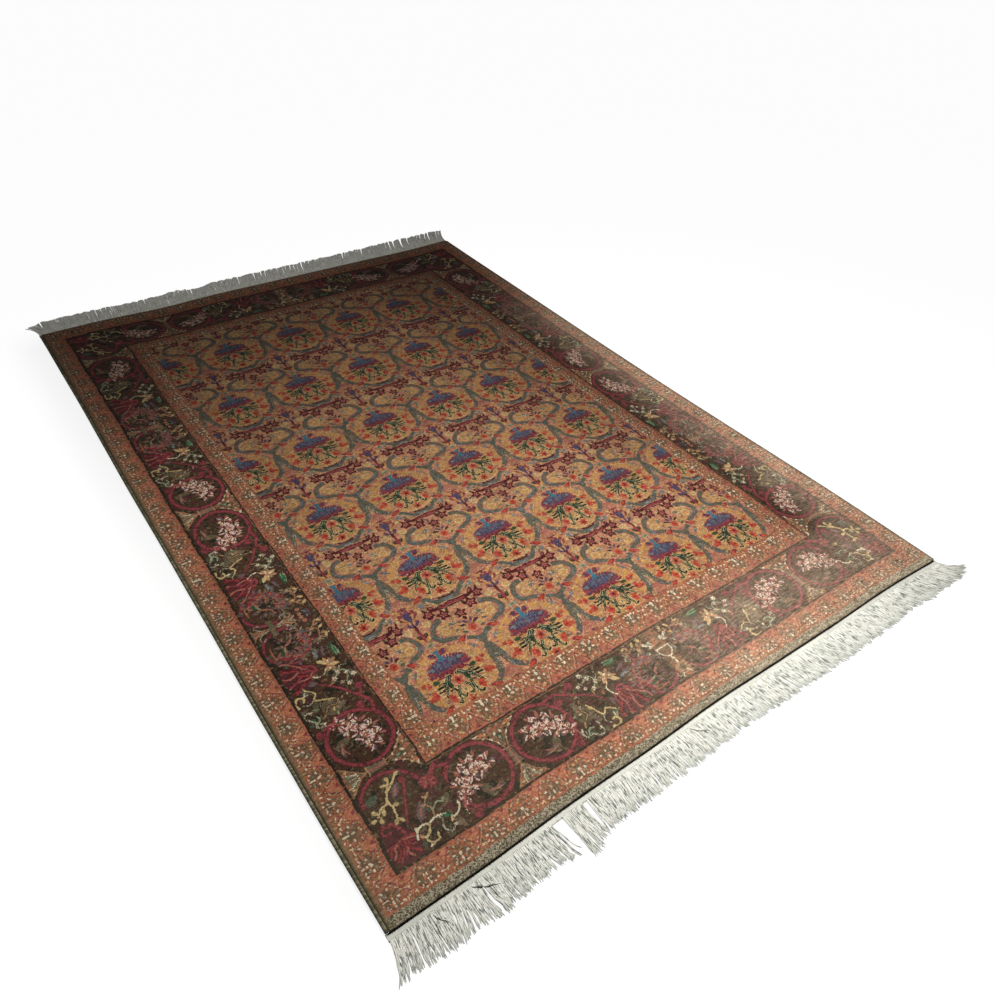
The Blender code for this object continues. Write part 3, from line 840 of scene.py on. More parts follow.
def guard(along, number, deep, width, top_stroke=1.7):
    """One guard as whole arrays: small florets of pale drops on bark patches, and red tents
    between them that stand on the main border's side. along runs from the middle of one tent to
    the next, -1 to 1 with the floret at 0, `number` counts the florets, and deep goes from the main
    border's side outwards, 0 to `width`. Every drop of every floret stands a little off its place."""
    across, c = along * GUARD_HALF, deep * GUARD_DEPTH / width
    s = np.abs(across)
    yarn = np.full(np.shape(s), NUMBER["rust"], np.uint8)
    tent = (GUARD_HALF - s) + 0.66 * c
    paint(yarn, "orange_rust", tent < 24)
    paint(yarn, "rose", (tent < 24) & (tent > 21.6))
    paint(yarn, "salmon", (tent < 19) & (tent > 16) & ((s + 1.7 * c) % 6 < 3.4))
    paint(yarn, "straw", (tent < 29) & (tent > 26.6) & ((s + 1.7 * c) % 7 < 3.2))
    paint(yarn, "rose", tent < 7)
    edge = 18 + 3 * np.sin(3 * np.arctan2(c - 29, across) + 2 * number)
    paint(yarn, "bark", np.hypot(across, c - 29) < edge)
    drops = (
        (0, 26, 90, 6, 4), (8, 36, 60, 7, 4), (8, 19, -50, 7, 3.6), (15, 28, 10, 6, 4),
        (4, 10, -80, 5, 3.4), (17, 42, 50, 6, 3.6), (18, 15, -40, 6, 3.2), (23, 35, 80, 6, 3.4),
        (9, 46, 20, 6, 3.2), (26, 46, 100, 6, 3.4), (30, 40, 20, 6, 3.2), (12, 5, 30, 5, 3),
        (33, 48, 70, 5, 3.2), (36, 30, 90, 5, 3.4), (28, 24, 60, 5, 3),
    )
    for k, (u, v, turn, length, thick) in enumerate(drops):
        cos, sin = math.cos(math.radians(turn)), math.sin(math.radians(turn))
        for side in (-1, 1):
            shake = 2.1 * k + 1.3 * side + 1.9 * number
            ds = (across - side * u - 2.0 * np.sin(shake)) * side
            dc = c - v - 2.0 * np.sin(1.7 * shake + 1)
            m, n = (ds * cos + dc * sin) / length, (dc * cos - ds * sin) / thick
            paint(yarn, ("cream", "ash", "tan", "cream", "straw")[k % 5], m * m + n * n < 0.33)
    paint(yarn, "cream", (s < top_stroke) & (c > 33) & (c < 47))
    paint(yarn, "rust", (c < 2) | (c > 51))
    paint(yarn, "tan", (c > 52) & (s % 6 < 2.6))
    return yarn


def inner_guard(along, number, deep, width):
    """The same guard as the field's frame, on a redder ground: its top stroke ends in a drop."""
    s, c = np.abs(along) * GUARD_HALF, deep * GUARD_DEPTH / width
    yarn = guard(along, number, deep, width, 2.4)
    paint(yarn, "rust", yarn == NUMBER["orange_rust"])
    paint(yarn, "cream", np.hypot(s / 1.2, c - 44) < 3.6)
    paint(yarn, "tan", np.hypot(s - 20, c - 26) < 2.4)
    return yarn


# %% Chart: the quarter put together
def border_quarter():
    """The near left quarter with all its bands. A square belongs to the band at its own depth, the
    smaller of its depths from the two sides."""
    canvas = Canvas(-843, 0, -1200, MIDDLE, "chocolate")
    draw_main_border(canvas)
    draw_vase(Pen(canvas, 0, END_AXIS))
    x, y = np.meshgrid(canvas.x, canvas.y)
    from_left, from_near = np.interp(x, LEFT_BANDS, DEPTHS), np.interp(y, NEAR_BANDS, DEPTHS)
    depth, at_left = np.minimum(from_left, from_near), from_left < from_near
    rim, outer, main, main_end, inner, field = DEPTHS[1:]
    guards = ((rim, outer, 11, 16, guard), (inner, field, 8, 13, inner_guard))
    for low, high, florets_near, florets_left, draw in guards:
        middle = (low + high) / 2
        end_x, end_y = np.interp(middle, DEPTHS, LEFT_BANDS), np.interp(middle, DEPTHS, NEAR_BANDS)
        share = np.where(at_left, (y - MIDDLE) / (end_y - MIDDLE) * florets_left, x / end_x * florets_near)
        along = 2 * (share - np.round(share))
        here = (depth >= low) & (depth < high)
        deep = high - depth if low == rim else depth - low
        canvas.yarn[here] = draw(along, np.round(share), deep, high - low)[here]
    stripes = (
        (0, rim, "ash"), (outer, 67, "rust"), (67, main, "soot"), (main_end, 227.5, "bark"),
        (227.5, 232.5, "soot"), (232.5, inner, "rust"),
    )
    for low, high, name in stripes:
        paint(canvas.yarn, name, (depth >= low) & (depth < high))
    paint(canvas.yarn, "olive", (depth < rim) & at_left)
    canvas.in_field = depth >= field
    return canvas


quarter = border_quarter()
print("border quarter:", quarter.yarn.shape, "squares,", len(np.unique(quarter.yarn)), "yarns")

# %% [markdown]
# ## The knot chart
# The whole rug is now read from the two drawings, knot by knot. A weaver never beats the knots in
# quite evenly, so the medallions' columns and rows and the borders' rings stand at their own
# uneven places, every line of the design wavers by a knot or so, and plain ground is mottled,
# because yarn from several dye lots is knotted in turn.

# %% Chart: where the repeats stand
KNOTS_ACROSS, KNOTS_ALONG = 844, 1200
HALF_CHART = (843.0, 1200.0)   # mm, across and along
# The medallions' columns at every half repeat, and their rows from the far one to the near one.
# One row more at each end gives the parts of motifs that the borders cut.
COLUMNS = (-665, -551, -449, -334, -213, -98, 19, 133, 238, 343, 462, 558, 672)
ROWS = (1101, 788, 468, 146, -161, -461, -774, -1087)
# A medallion's disc is |u/a|^p + |v/b|^p < 1 about a middle that lies some way below its centre.
DISC_A, DISC_B, DISC_DROP, DISC_POWER = 108, 99, 43, 1.8
WHOLE_BELOW = -6   # below this the drawing fills its repeat from side to side
# Lines of the far half, and the near half's lines that they mirror.
FAR_LINES = (10, 105, 388, 543, 850, 922, 970, 980, 1122, 1132, 1190, 1200)
NEAR_LINES = (10, -76, -376, -536, -823, -893, -958, -967, -1119, -1127, -1178, -1200)
# The near half's side borders have rings at places of their own: on the rug, and as drawn.
SIDE_LINES = ((-1200, -967, -911, -832, -466, -90, 10), (-1200, -967, -906, -822, -450, -76, 10))
SIDE_FROM = 619    # mm from the middle, the inner edge of those side borders


def soft_noise(shape, size, seed):
    """Random levels on a coarse grid, a step every `size` knots, joined by smooth steps."""
    rows, columns = (int(n / size) + 3 for n in shape)
    level = np.random.default_rng(seed).uniform(-1, 1, (rows, columns))
    v, u = np.arange(shape[0]) / size, np.arange(shape[1]) / size
    i, j = v.astype(int), u.astype(int)
    fv, fu = (3 * (v % 1) ** 2 - 2 * (v % 1) ** 3)[:, None], (3 * (u % 1) ** 2 - 2 * (u % 1) ** 3)[None, :]
    near = level[i][:, j] * (1 - fu) + level[i][:, j + 1] * fu
    far = level[i + 1][:, j] * (1 - fu) + level[i + 1][:, j + 1] * fu
    return near * (1 - fv) + far * fv


# %% Chart: the field inside the borders
def field_yarn(x, y):
    """Reads the repeat for each knot: first which row and column it belongs to, then how far it
    stands from that medallion's axis and middle."""
    half_steps = np.interp(x, COLUMNS, np.arange(len(COLUMNS)))
    found = np.full(x.shape, NUMBER["camel"], np.uint8)
    for k, row in enumerate(ROWS):
        above = ROWS[k - 1] if k else row + ROW_PITCH
        below = ROWS[k + 1] if k + 1 < len(ROWS) else row - ROW_PITCH
        v = np.interp(y, (below, row, above), (-ROW_PITCH, 0, ROW_PITCH))
        shift = half_steps - k
        u = np.abs((shift + 1) % 2 - 1) * HALF_REPEAT
        disc = (u / DISC_A) ** DISC_POWER + np.abs((v + DISC_DROP) / DISC_B) ** DISC_POWER < 1
        mine = (v <= UNIT_TOP) & (disc | (v < WHOLE_BELOW)) & (y > below - UNIT_TOP)
        found = np.where(mine, repeat.read(u, v), found)
    return found


# %% Chart: stray knots
def mottled(yarn, shape):
    """Swaps part of each plain ground for its neighbours on the dyer's card, in small patches."""
    swaps = (
        ("camel", "honey", 3.2, 0.2), ("camel", "salmon", 5.0, 0.5), ("camel", "tan", 2.4, 0.45),
        ("honey", "camel", 3.0, 0.2), ("honey", "straw", 2.0, 0.5), ("camel", "straw", 1.6, 0.6),
        ("salmon", "tan", 4.0, 0.2), ("salmon", "rosewood", 2.0, 0.36), ("salmon", "straw", 1.8, 0.55),
        ("salmon", "heather", 5.0, 0.72), ("slate", "sage", 6.0, 0.45), ("slate", "taupe", 2.4, 0.36),
        ("slate", "dusk_blue", 2.6, 0.62), ("chocolate", "ink", 4.0, 0.36), ("chocolate", "olive", 2.2, 0.52),
        ("chocolate", "plum", 6.0, 0.60), ("bark", "taupe", 2.0, 0.3), ("bark", "rust", 2.0, 0.36),
        ("rust", "rosewood", 2.0, 0.36), ("rust", "bark", 1.6, 0.36), ("orange_rust", "rust", 2.0, 0.2),
        ("orange_rust", "salmon", 1.6, 0.5), ("rose", "plum", 2.2, 0.56), ("olive", "taupe", 2.4, 0.3),
        ("cream", "tan", 1.6, 0.45), ("blossom", "rosewood", 2.0, 0.66), ("soot", "bark", 2.4, 0.6),
        ("ash", "olive", 1.0, 0.1), ("crimson", "plum", 2.2, 0.5), ("blue", "violet", 2.6, 0.4),
        ("blue", "dusk_blue", 2.0, 0.45), ("violet", "heather", 2.4, 0.4), ("cherry", "plum", 1.8, 0.5),
        ("poppy", "rust", 2.0, 0.4), ("taupe", "olive", 2.0, 0.5),
    )
    mixed = yarn.copy()
    for seed, (ground, other, size, level) in enumerate(swaps):
        patch = soft_noise(shape, size, 41 + seed) > level
        mixed[(yarn == NUMBER[ground]) & patch] = NUMBER[other]
    return mixed


# %% Chart: knot by knot
def knot_chart():
    """The yarn of every knot, near row first, left knot first."""
    shape = (KNOTS_ALONG, KNOTS_ACROSS)
    half_width, half_length = HALF_CHART
    x = np.linspace(-half_width, half_width, 2 * KNOTS_ACROSS + 1)[1::2][None, :]
    y = np.linspace(-half_length, half_length, 2 * KNOTS_ALONG + 1)[1::2][:, None]
    wander_x = 1.1 * soft_noise(shape, 7, 1) + 2.0 * soft_noise(shape, 40, 2)
    wander_y = 1.1 * soft_noise(shape, 7, 3) + 2.0 * soft_noise(shape, 40, 4)
    calm = np.minimum(1, (half_width - np.abs(x)) / 60)   # the outer 60 mm waver less
    x, y = x + wander_x * calm, y + wander_y * calm
    drawn_y = np.where(y > MIDDLE, np.interp(y, FAR_LINES, NEAR_LINES), y)
    drawn_y = np.where((y < MIDDLE) & (np.abs(x) > SIDE_FROM), np.interp(y, *SIDE_LINES), drawn_y)
    left_x = np.minimum(-np.abs(x), -0.5)
    yarn = quarter.read(left_x, drawn_y)
    in_field = quarter.read(left_x, drawn_y, quarter.in_field)
    return mottled(np.where(in_field, field_yarn(x, y), yarn), shape)


chart = knot_chart()
print("knot chart:", chart.shape[1], "x", chart.shape[0], "knots")

# %% [markdown]
# ## Shaders written as sums
# Every finish below is a small piece of arithmetic on a few measures, such as the place on the
# rug or the number of a knot's yarn. One class wraps a socket, so that this arithmetic reads as
# ordinary Python, and one more adds nodes: its settings come first, and its inputs after them.

# %% Shader helpers: colour and steps
def linear(colour):
    """A dyer's card colour (0 to 255) as linear light, by the usual two-part curve."""
    share = np.array(colour, float) / 255
    light = np.where(share <= 0.04045, share / 12.92, ((share + 0.055) / 1.055) ** 2.4)
    return (*(float(v) for v in light), 1.0)


def step(operation):
    """A method that adds one Math node, with the Value as its first input."""
    return lambda value, *others: value.shader.maths(operation, value, *others)


# %% Shader helpers: values and operators
class Value:
    """One output socket. Sums, products and the named steps below add Math nodes to its tree."""

    def __init__(self, shader, socket):
        self.shader, self.socket = shader, socket

    __add__ = __radd__ = step("ADD")
    __mul__ = __rmul__ = step("MULTIPLY")
    __sub__, __truediv__ = step("SUBTRACT"), step("DIVIDE")
    floor, fraction = step("FLOOR"), step("FRACT")
    sine, size = step("SINE"), step("ABSOLUTE")
    at_least, at_most = step("MAXIMUM"), step("MINIMUM")
    over = step("GREATER_THAN")

    def __rsub__(self, other):
        return self.shader.maths("SUBTRACT", other, self)

    def is_near(self, level):
        """1 within a half of the level, and 0 elsewhere."""
        return self.shader.maths("COMPARE", self, level, 0.5)

    def ramp(self, low, high):
        """0 below low, 1 above high and a smooth step between them."""
        settings = {"interpolation_type": "SMOOTHSTEP"}
        inputs = {"Value": self, "From Min": low, "From Max": high}
        return self.shader.node("ShaderNodeMapRange", settings, inputs, "Result")


# %% Shader helpers: nodes
class Shader:
    """A material's node tree. Each method adds nodes and gives back the output as a Value."""

    def __init__(self, name):
        self.material = bpy.data.materials.new(name)
        self.material.use_nodes = True
        self.tree = self.material.node_tree
        self.tree.nodes.clear()

    def put(self, socket, value):
        if isinstance(value, Value):
            self.tree.links.new(value.socket, socket)
        else:
            socket.default_value = value

    def node(self, kind, settings=None, inputs=None, output=0):
        made = self.tree.nodes.new(kind)
        for name, value in (settings or {}).items():
            setattr(made, name, value)
        for name, value in (inputs or {}).items():
            self.put(made.inputs[name], value)
        return Value(self, made.outputs[output])

    def maths(self, operation, *values):
        return self.node("ShaderNodeMath", {"operation": operation}, dict(enumerate(values)))

    def attribute(self, name):
        return self.node("ShaderNodeAttribute", {"attribute_name": name}, output="Fac")

    def map_place(self, name):
        """The two coordinates of a named map on the piece."""
        place = self.node("ShaderNodeUVMap", {"uv_map": name})
        return [self.part_of(place, axis) for axis in "XY"]

    def point(self, x, y, z=0.0):
        return self.node("ShaderNodeCombineXYZ", None, {"X": x, "Y": y, "Z": z})

    def noise(self, place, scale, detail=2.0, roughness=0.5):
        """Cloudy levels from 0 to 1, about a half on average."""
        inputs = {"Vector": place, "Scale": scale, "Detail": detail, "Roughness": roughness}
        return self.node("ShaderNodeTexNoise", {"noise_dimensions": "3D"}, inputs, "Fac")

    def speckle(self, place):
        """A fresh random level from 0 to 1 for every place."""
        return self.node("ShaderNodeTexWhiteNoise", {"noise_dimensions": "3D"}, {"Vector": place}, "Value")

    def mix(self, share, first, second):
        """Two colours mixed, with the share of the second one. A Mix node's sockets 0, 6 and 7
        are its factor and its two colours, and output 2 is the mixed one."""
        return self.node("ShaderNodeMix", {"data_type": "RGBA"}, {0: share, 6: first, 7: second}, 2)

    def place(self):
        """Where a spot is on the piece, in metres."""
        return self.node("ShaderNodeTexCoord", output="Object")

    def part_of(self, place, axis):
        """One coordinate of a place: X, Y or Z."""
        return self.node("ShaderNodeSeparateXYZ", None, {0: place}, axis)

    def shaded(self, colour, level):
        """A colour made lighter or darker by a level about 1."""
        inputs = {0: colour, "Scale": level}
        return self.node("ShaderNodeVectorMath", {"operation": "SCALE"}, inputs)

    def bump(self, height, distance, strength=1.0):
        inputs = {"Height": height, "Distance": distance, "Strength": strength}
        return self.node("ShaderNodeBump", None, inputs, "Normal")

    def finish(self, colour, roughness, normal=None, settings=None):
        """One Principled surface; settings are constants on its other sockets."""
        inputs = {"Base Color": colour, "Roughness": roughness, **(settings or {})}
        if normal is not None:
            inputs["Normal"] = normal
        surface = self.node("ShaderNodeBsdfPrincipled", None, inputs, "BSDF")
        self.put(self.tree.nodes.new("ShaderNodeOutputMaterial").inputs["Surface"], surface)
        return self.material


print("shader helpers ready")

# %% [markdown]
# ## Floor and light
# The rug lies on a white floor in a dim room, and one soft panel hangs over its near half. Its
# light falls off fast towards the far end, because the distance and the slant both grow and the
# panel's own grid holds the beam in, so the far end is much darker than the near one. A faint
# even fill stands for the rest of the room. The floor glows, so that it stays white where the
# panel no longer reaches, and pale walls with the same glow stand far behind it.

# %% Glowing surfaces
FLOOR_REACH = 30.0      # m, also how far off and how high the backdrop is
FLOOR_LEVEL = -0.0002   # m, just under the rug's flat underside
WHITE = (1.0, 1.0, 1.0, 1.0)
# The glow's colour where a soft shadow is painted beside the rug.
SHADE = (0.88, 0.88, 0.88, 1.0)
DULL = (0.10, 0.10, 0.10, 1.0)   # the floor's own colour: most of its white is glow
GLOW = 0.97


def add_glowing(name, corners, faces, shader, colour):
    """A dull surface that glows with one colour, which may be a Value."""
    data = bpy.data.meshes.new(name)
    data.from_pydata(corners, [], faces)
    surface = bpy.data.objects.new(name, data)
    bpy.context.scene.collection.objects.link(surface)
    glow = {"Emission Color": colour, "Emission Strength": GLOW}
    data.materials.append(shader.finish(DULL, 0.9, None, glow))
    return surface


def room_corners(*levels):
    """The room's four corners at each level, anticlockwise from the near left one."""
    r = FLOOR_REACH
    return [(x, y, z) for z in levels for x, y in ((-r, -r), (r, -r), (r, r), (-r, r))]


# %% Floor and backdrop
def add_floor():
    """One square under the rug. Its glow sinks by an eighth close to the rug's left side, a soft
    shadow of the rug painted into the glow."""
    shader = Shader("white_floor")
    place = shader.place()
    x, y = (shader.part_of(place, axis) for axis in "XY")
    # A soft shadow painted into the floor's glow beside the rug's left side.
    beside = x.ramp(-1.00, -0.84) * (1.0 - x.over(0.0)) * (1.0 - y.size().ramp(1.10, 1.32))
    add_glowing("floor", room_corners(FLOOR_LEVEL), [(0, 1, 2, 3)], shader, shader.mix(beside, WHITE, SHADE))


def add_backdrop():
    """Four pale walls and a ceiling, facing in. Only the camera sees them, so they light nothing."""
    faces = [(1, 0, 4, 5), (2, 1, 5, 6), (3, 2, 6, 7), (0, 3, 7, 4), (7, 6, 5, 4)]
    corners = room_corners(FLOOR_LEVEL, FLOOR_REACH)
    backdrop = add_glowing("backdrop", corners, faces, Shader("white_backdrop"), WHITE)
    for ray in ("diffuse", "glossy", "transmission", "volume_scatter", "shadow"):
        setattr(backdrop, "visible_" + ray, False)


# %% Light
KEY_PLACE = Vector((0.17, -0.75, 1.62))
KEY_AIM = Vector((0.0, -1.05, 0.0))
KEY_SIZE = 0.5
KEY_BEAM = 164    # degrees across, the grid's own limit
KEY_POWER = 43.0  # W
KEY_TINT = (1.0, 0.985, 0.955)
FILL = 0.025
FILL_TINT = (1.0, 0.97, 0.93, 1.0)


def add_panel():
    """A square soft light that isn't seen itself; a panel's own -Z looks at its aim."""
    data = bpy.data.lights.new("panel", "AREA")
    data.shape, data.size, data.energy, data.color = "SQUARE", KEY_SIZE, KEY_POWER, KEY_TINT
    data.spread = math.radians(KEY_BEAM)
    panel = bpy.data.objects.new("panel", data)
    turn = (KEY_AIM - KEY_PLACE).to_track_quat("-Z", "Y").to_matrix().to_4x4()
    panel.matrix_world = Matrix.Translation(KEY_PLACE) @ turn
    panel.visible_camera = False
    bpy.context.scene.collection.objects.link(panel)


def add_fill():
    """An even sky of one pale colour."""
    world = bpy.data.worlds.new("room")
    world.use_nodes = True
    bpy.context.scene.world = world
    sky = world.node_tree.nodes["Background"]
    sky.inputs["Color"].default_value = FILL_TINT
    sky.inputs["Strength"].default_value = FILL


add_floor()
add_backdrop()
add_panel()
add_fill()
bpy.context.scene.view_settings.view_transform = "Standard"
print("floor and backdrop glow", GLOW, "panel", KEY_POWER, "W, fill", FILL)

# %% [markdown]
# ## The rug's outline
# No edge of a handmade rug is straight. Each piece below is laid out on a perfect rectangle
# first, in millimetres, and then moved on to the real outline by the same four edge lines that
# the solid model has. So neighbouring pieces always fit each other.

# %% Outline
HALF_WIDTH = 850.0   # mm, to the outside of the side cords
HALF_LENGTH = 1200.0
SHARE = (0.00, 0.12, 0.25, 0.38, 0.50, 0.62, 0.75, 0.88, 1.00)
EDGES = {  # mm outward; the share runs from the near end for the sides, from the left for the ends
    "left": (9.5, 10.5, 9.5, 7.0, 6.0, 6.0, 3.0, 2.5, 3.5),
    "right": (1.5, 4.5, 0.0, -6.0, -8.0, -7.0, -4.0, -2.5, 0.5),
    "near": (-5.0, -5.0, -10.5, -10.0, -13.0, -8.0, -3.5, -1.5, 9.0),
    "far": (5.0, 8.0, -2.0, 6.0, 4.0, 3.0, 1.5, -1.0, 9.0),
}


def edge_line(name, share):
    """Cubic pieces through an edge's rows, with slopes taken from the neighbouring rows."""
    rows = np.array(EDGES[name])
    shares = np.array(SHARE)
    slopes = np.gradient(rows, shares)
    share = np.clip(share, 0, 1)
    k = np.clip(np.searchsorted(shares, share, side="right") - 1, 0, len(shares) - 2)
    step = np.diff(shares)[k]
    u = (share - shares[k]) / step
    level = (1 + 2 * u) * (1 - u) ** 2 * rows[k] + u * u * (3 - 2 * u) * rows[k + 1]
    return level + step * (u * (1 - u) ** 2 * slopes[k] - u * u * (1 - u) * slopes[k + 1])


def on_rug(x, y):
    """Moves places on the perfect rectangle, in mm, to the real outline, in metres: each opposite
    pair of edges moves a place by its own share of the way from one to the other."""
    x, y = np.broadcast_arrays(np.asarray(x, float), np.asarray(y, float))
    right, far = (x / HALF_WIDTH + 1) / 2, (y / HALF_LENGTH + 1) / 2
    moved_x = x + right * edge_line("right", far) - (1 - right) * edge_line("left", far)
    moved_y = y + far * edge_line("far", right) - (1 - far) * edge_line("near", right)
    return moved_x / 1000, moved_y / 1000


# %% Pieces from arrays
def make_piece(name, points, faces, maps, face_values=None):
    """A smooth mesh from whole arrays: points (n, 3) in metres, faces (m, 4), and by name maps
    (4m, 2) and face values (m)."""
    data = bpy.data.meshes.new(name)
    data.vertices.add(len(points))
    data.vertices.foreach_set("co", np.ascontiguousarray(points, np.float32).ravel())
    data.loops.add(faces.size)
    data.loops.foreach_set("vertex_index", np.ascontiguousarray(faces, np.int32).ravel())
    data.polygons.add(len(faces))
    data.polygons.foreach_set("loop_start", np.arange(0, faces.size, 4, dtype=np.int32))
    data.polygons.foreach_set("loop_total", np.full(len(faces), 4, np.int32))
    data.polygons.foreach_set("use_smooth", np.full(len(faces), True))
    data.update(calc_edges=True)
    for key, values in maps.items():
        layer = data.uv_layers.new(name=key)
        layer.data.foreach_set("uv", np.ascontiguousarray(values, np.float32).ravel())
    for key, values in (face_values or {}).items():
        layer = data.attributes.new(key, "FLOAT", "FACE")
        layer.data.foreach_set("value", np.ascontiguousarray(values, np.float32).ravel())
    data.validate()
    piece = bpy.data.objects.new(name, data)
    bpy.context.scene.collection.objects.link(piece)
    return piece


def dress(piece, material, nodes):
    """Gives a piece its finish, and sets it on the rug in place of its plain solids."""
    piece.data.materials.append(material)
    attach(piece, "root")
    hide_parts(*nodes)


sides, ends = (-HALF_WIDTH, HALF_WIDTH), (-HALF_LENGTH, HALF_LENGTH)
corners = [[round(float(v), 4) for v in on_rug(x, y)] for x in sides for y in ends]
print("corners of the outline:", corners)

# %% [markdown]
# ## The knotted pile
# About a million knots are too many to model one by one. The chart is cut into cells of four by
# six knots instead, and each cell is one face of the mesh that carries the yarn numbers of its
# own 24 knots. Four numbers below 32 pack into one value without any loss, so six values a face
# hold them all, and the shader unpacks them. The pile is one closed pillow: a top that rolls over
# at the edges, upright walls, and a back, on which the same knots show in reverse.

# %% Pile grid lines
CELL_U, CELL_V = 4, 6          # knots across and along in a cell
YARN_BASE = 32.0               # one more than the highest yarn number
HALF_PILE = (842.7, 1200.0)    # mm; the side cords and their gaps take the rest of the width
PILE_HEIGHT = 11.0
# Where the top rolls over: how far in from the edge, and how high.
SIDE_ROLL = ((0.0, 6.6), (0.8, 9.3), (4.0, PILE_HEIGHT))
END_ROLL = ((0.0, 6.6), (1.5, 9.3), (5.2, PILE_HEIGHT))
DRAWN_IN = 12.0                # mm, the strip inside the edge that gives way as the wall leans in


class Lines:
    """Grid lines across one direction: the cells' borders, with the outer cells split into strips
    where the pile rolls over. A strip knows its cell, and where in that cell it begins and ends."""

    def __init__(self, cells, half_chart, half, roll):
        borders = np.linspace(-half_chart, half_chart, cells + 1)
        outer = np.array([inset - half for inset, _ in roll])
        self.half = half
        self.place = np.concatenate([outer, borders[1:-1], -outer[::-1]])
        self.height = np.interp(half - np.abs(self.place), *np.array(roll).T)
        middles = (self.place[:-1] + self.place[1:]) / 2
        self.cell = np.clip(np.searchsorted(borders, middles) - 1, 0, cells - 1)
        width = borders[1] - borders[0]
        self.low = np.clip((self.place[:-1] - borders[self.cell]) / width, 0, 1)
        self.high = np.clip((self.place[1:] - borders[self.cell]) / width, 0, 1)

    def drawn_in(self, place, inset):
        """The same lines with the outermost one moved in, and those just inside it squeezed."""
        calm = self.half - DRAWN_IN
        moved = np.interp(np.abs(place), (0, calm, self.half), (0, calm, self.half - inset))
        return np.sign(place) * moved


# %% Pile cells and faces
def packed_cells(knots):
    """Six arrays, one for each row of knots in a cell, each value four yarn numbers in base 32."""
    cells = knots.reshape(knots.shape[0] // CELL_V, CELL_V, knots.shape[1] // CELL_U, CELL_U)
    return (cells * YARN_BASE ** np.arange(CELL_U)).sum(axis=3).transpose(1, 0, 2)


def quads(index):
    """Faces between the points of a grid, turned to face up."""
    around = (index[:-1, :-1], index[:-1, 1:], index[1:, 1:], index[1:, :-1])
    return np.stack(around, axis=-1).reshape(-1, 4)


def once_round(grid):
    """The values once round a grid's border, anticlockwise from its first corner."""
    return np.concatenate([grid[0, :-1], grid[:-1, -1], grid[-1, :0:-1], grid[:0:-1, 0]])


def wall_between(upper, lower):
    """Faces between two closed loops, facing out; or the same of what their points carry."""
    return np.stack([upper, lower, np.roll(lower, -1, 0), np.roll(upper, -1, 0)], axis=1)


across = Lines(chart.shape[1] // CELL_U, HALF_CHART[0], HALF_PILE[0], SIDE_ROLL)
along = Lines(chart.shape[0] // CELL_V, HALF_CHART[1], HALF_PILE[1], END_ROLL)


# %% Pile layers
WANDER = 0.35  # mm, how far a point of the top may stray
# Rings below the top: in at the sides, in at the ends, height, and the way down to it on the wall.
WALL = ((0.0, 0.7, 4.4, 2.3), (0.0, 4.0, 2.9, 5.9), (0.5, 4.0, 0.0, 8.8))


def pile_layers():
    """The top's grid, whose inner points wander and swell a little, the wall's rings and the back's
    grid; with them the point numbers of each loop round the wall and their unfolded places."""
    x, y = np.meshgrid(across.place, along.place)
    height = np.minimum.outer(along.height, across.height)
    inner = height > PILE_HEIGHT - 0.01
    wander = np.random.default_rng(21).uniform(-WANDER, WANDER, (2, *x.shape)) * inner
    swell = 0.35 * soft_noise(x.shape, 9, 31) + 0.5 * soft_noise(x.shape, 33, 32)
    top = (*on_rug(x + wander[0], y + wander[1]), (height + swell * inner) / 1000)
    layers = [np.stack(top, axis=-1).reshape(-1, 3)]
    round_top = once_round(np.arange(x.size).reshape(x.shape))
    loops, unfolded = [round_top], [np.stack([x, y], axis=-1).reshape(-1, 2)[round_top]]
    for side_in, end_in, z, way in WALL:
        px, py = on_rug(across.drawn_in(x, side_in), along.drawn_in(y, end_in))
        layer = np.stack([px, py, np.full_like(px, z / 1000)], axis=-1).reshape(-1, 3)
        first = sum(len(points) for points in layers)
        loops.append(first + (np.arange(len(round_top)) if z else round_top))
        layers.append(layer[round_top] if z else layer)
        unfolded.append(unfolded[0] * (1 + way / HALF_PILE[0], 1 + way / HALF_PILE[1]))
    return layers, loops, unfolded


# %% Pile put together
# Where the unfolded pile lies in the baking map: mm to the map's whole width, and its middle.
BAKE_TOP, TOP_MIDDLE = 2580, (0.345, 0.5)
BAKE_BACK, BACK_MIDDLE = 5600, (0.84, 0.5)


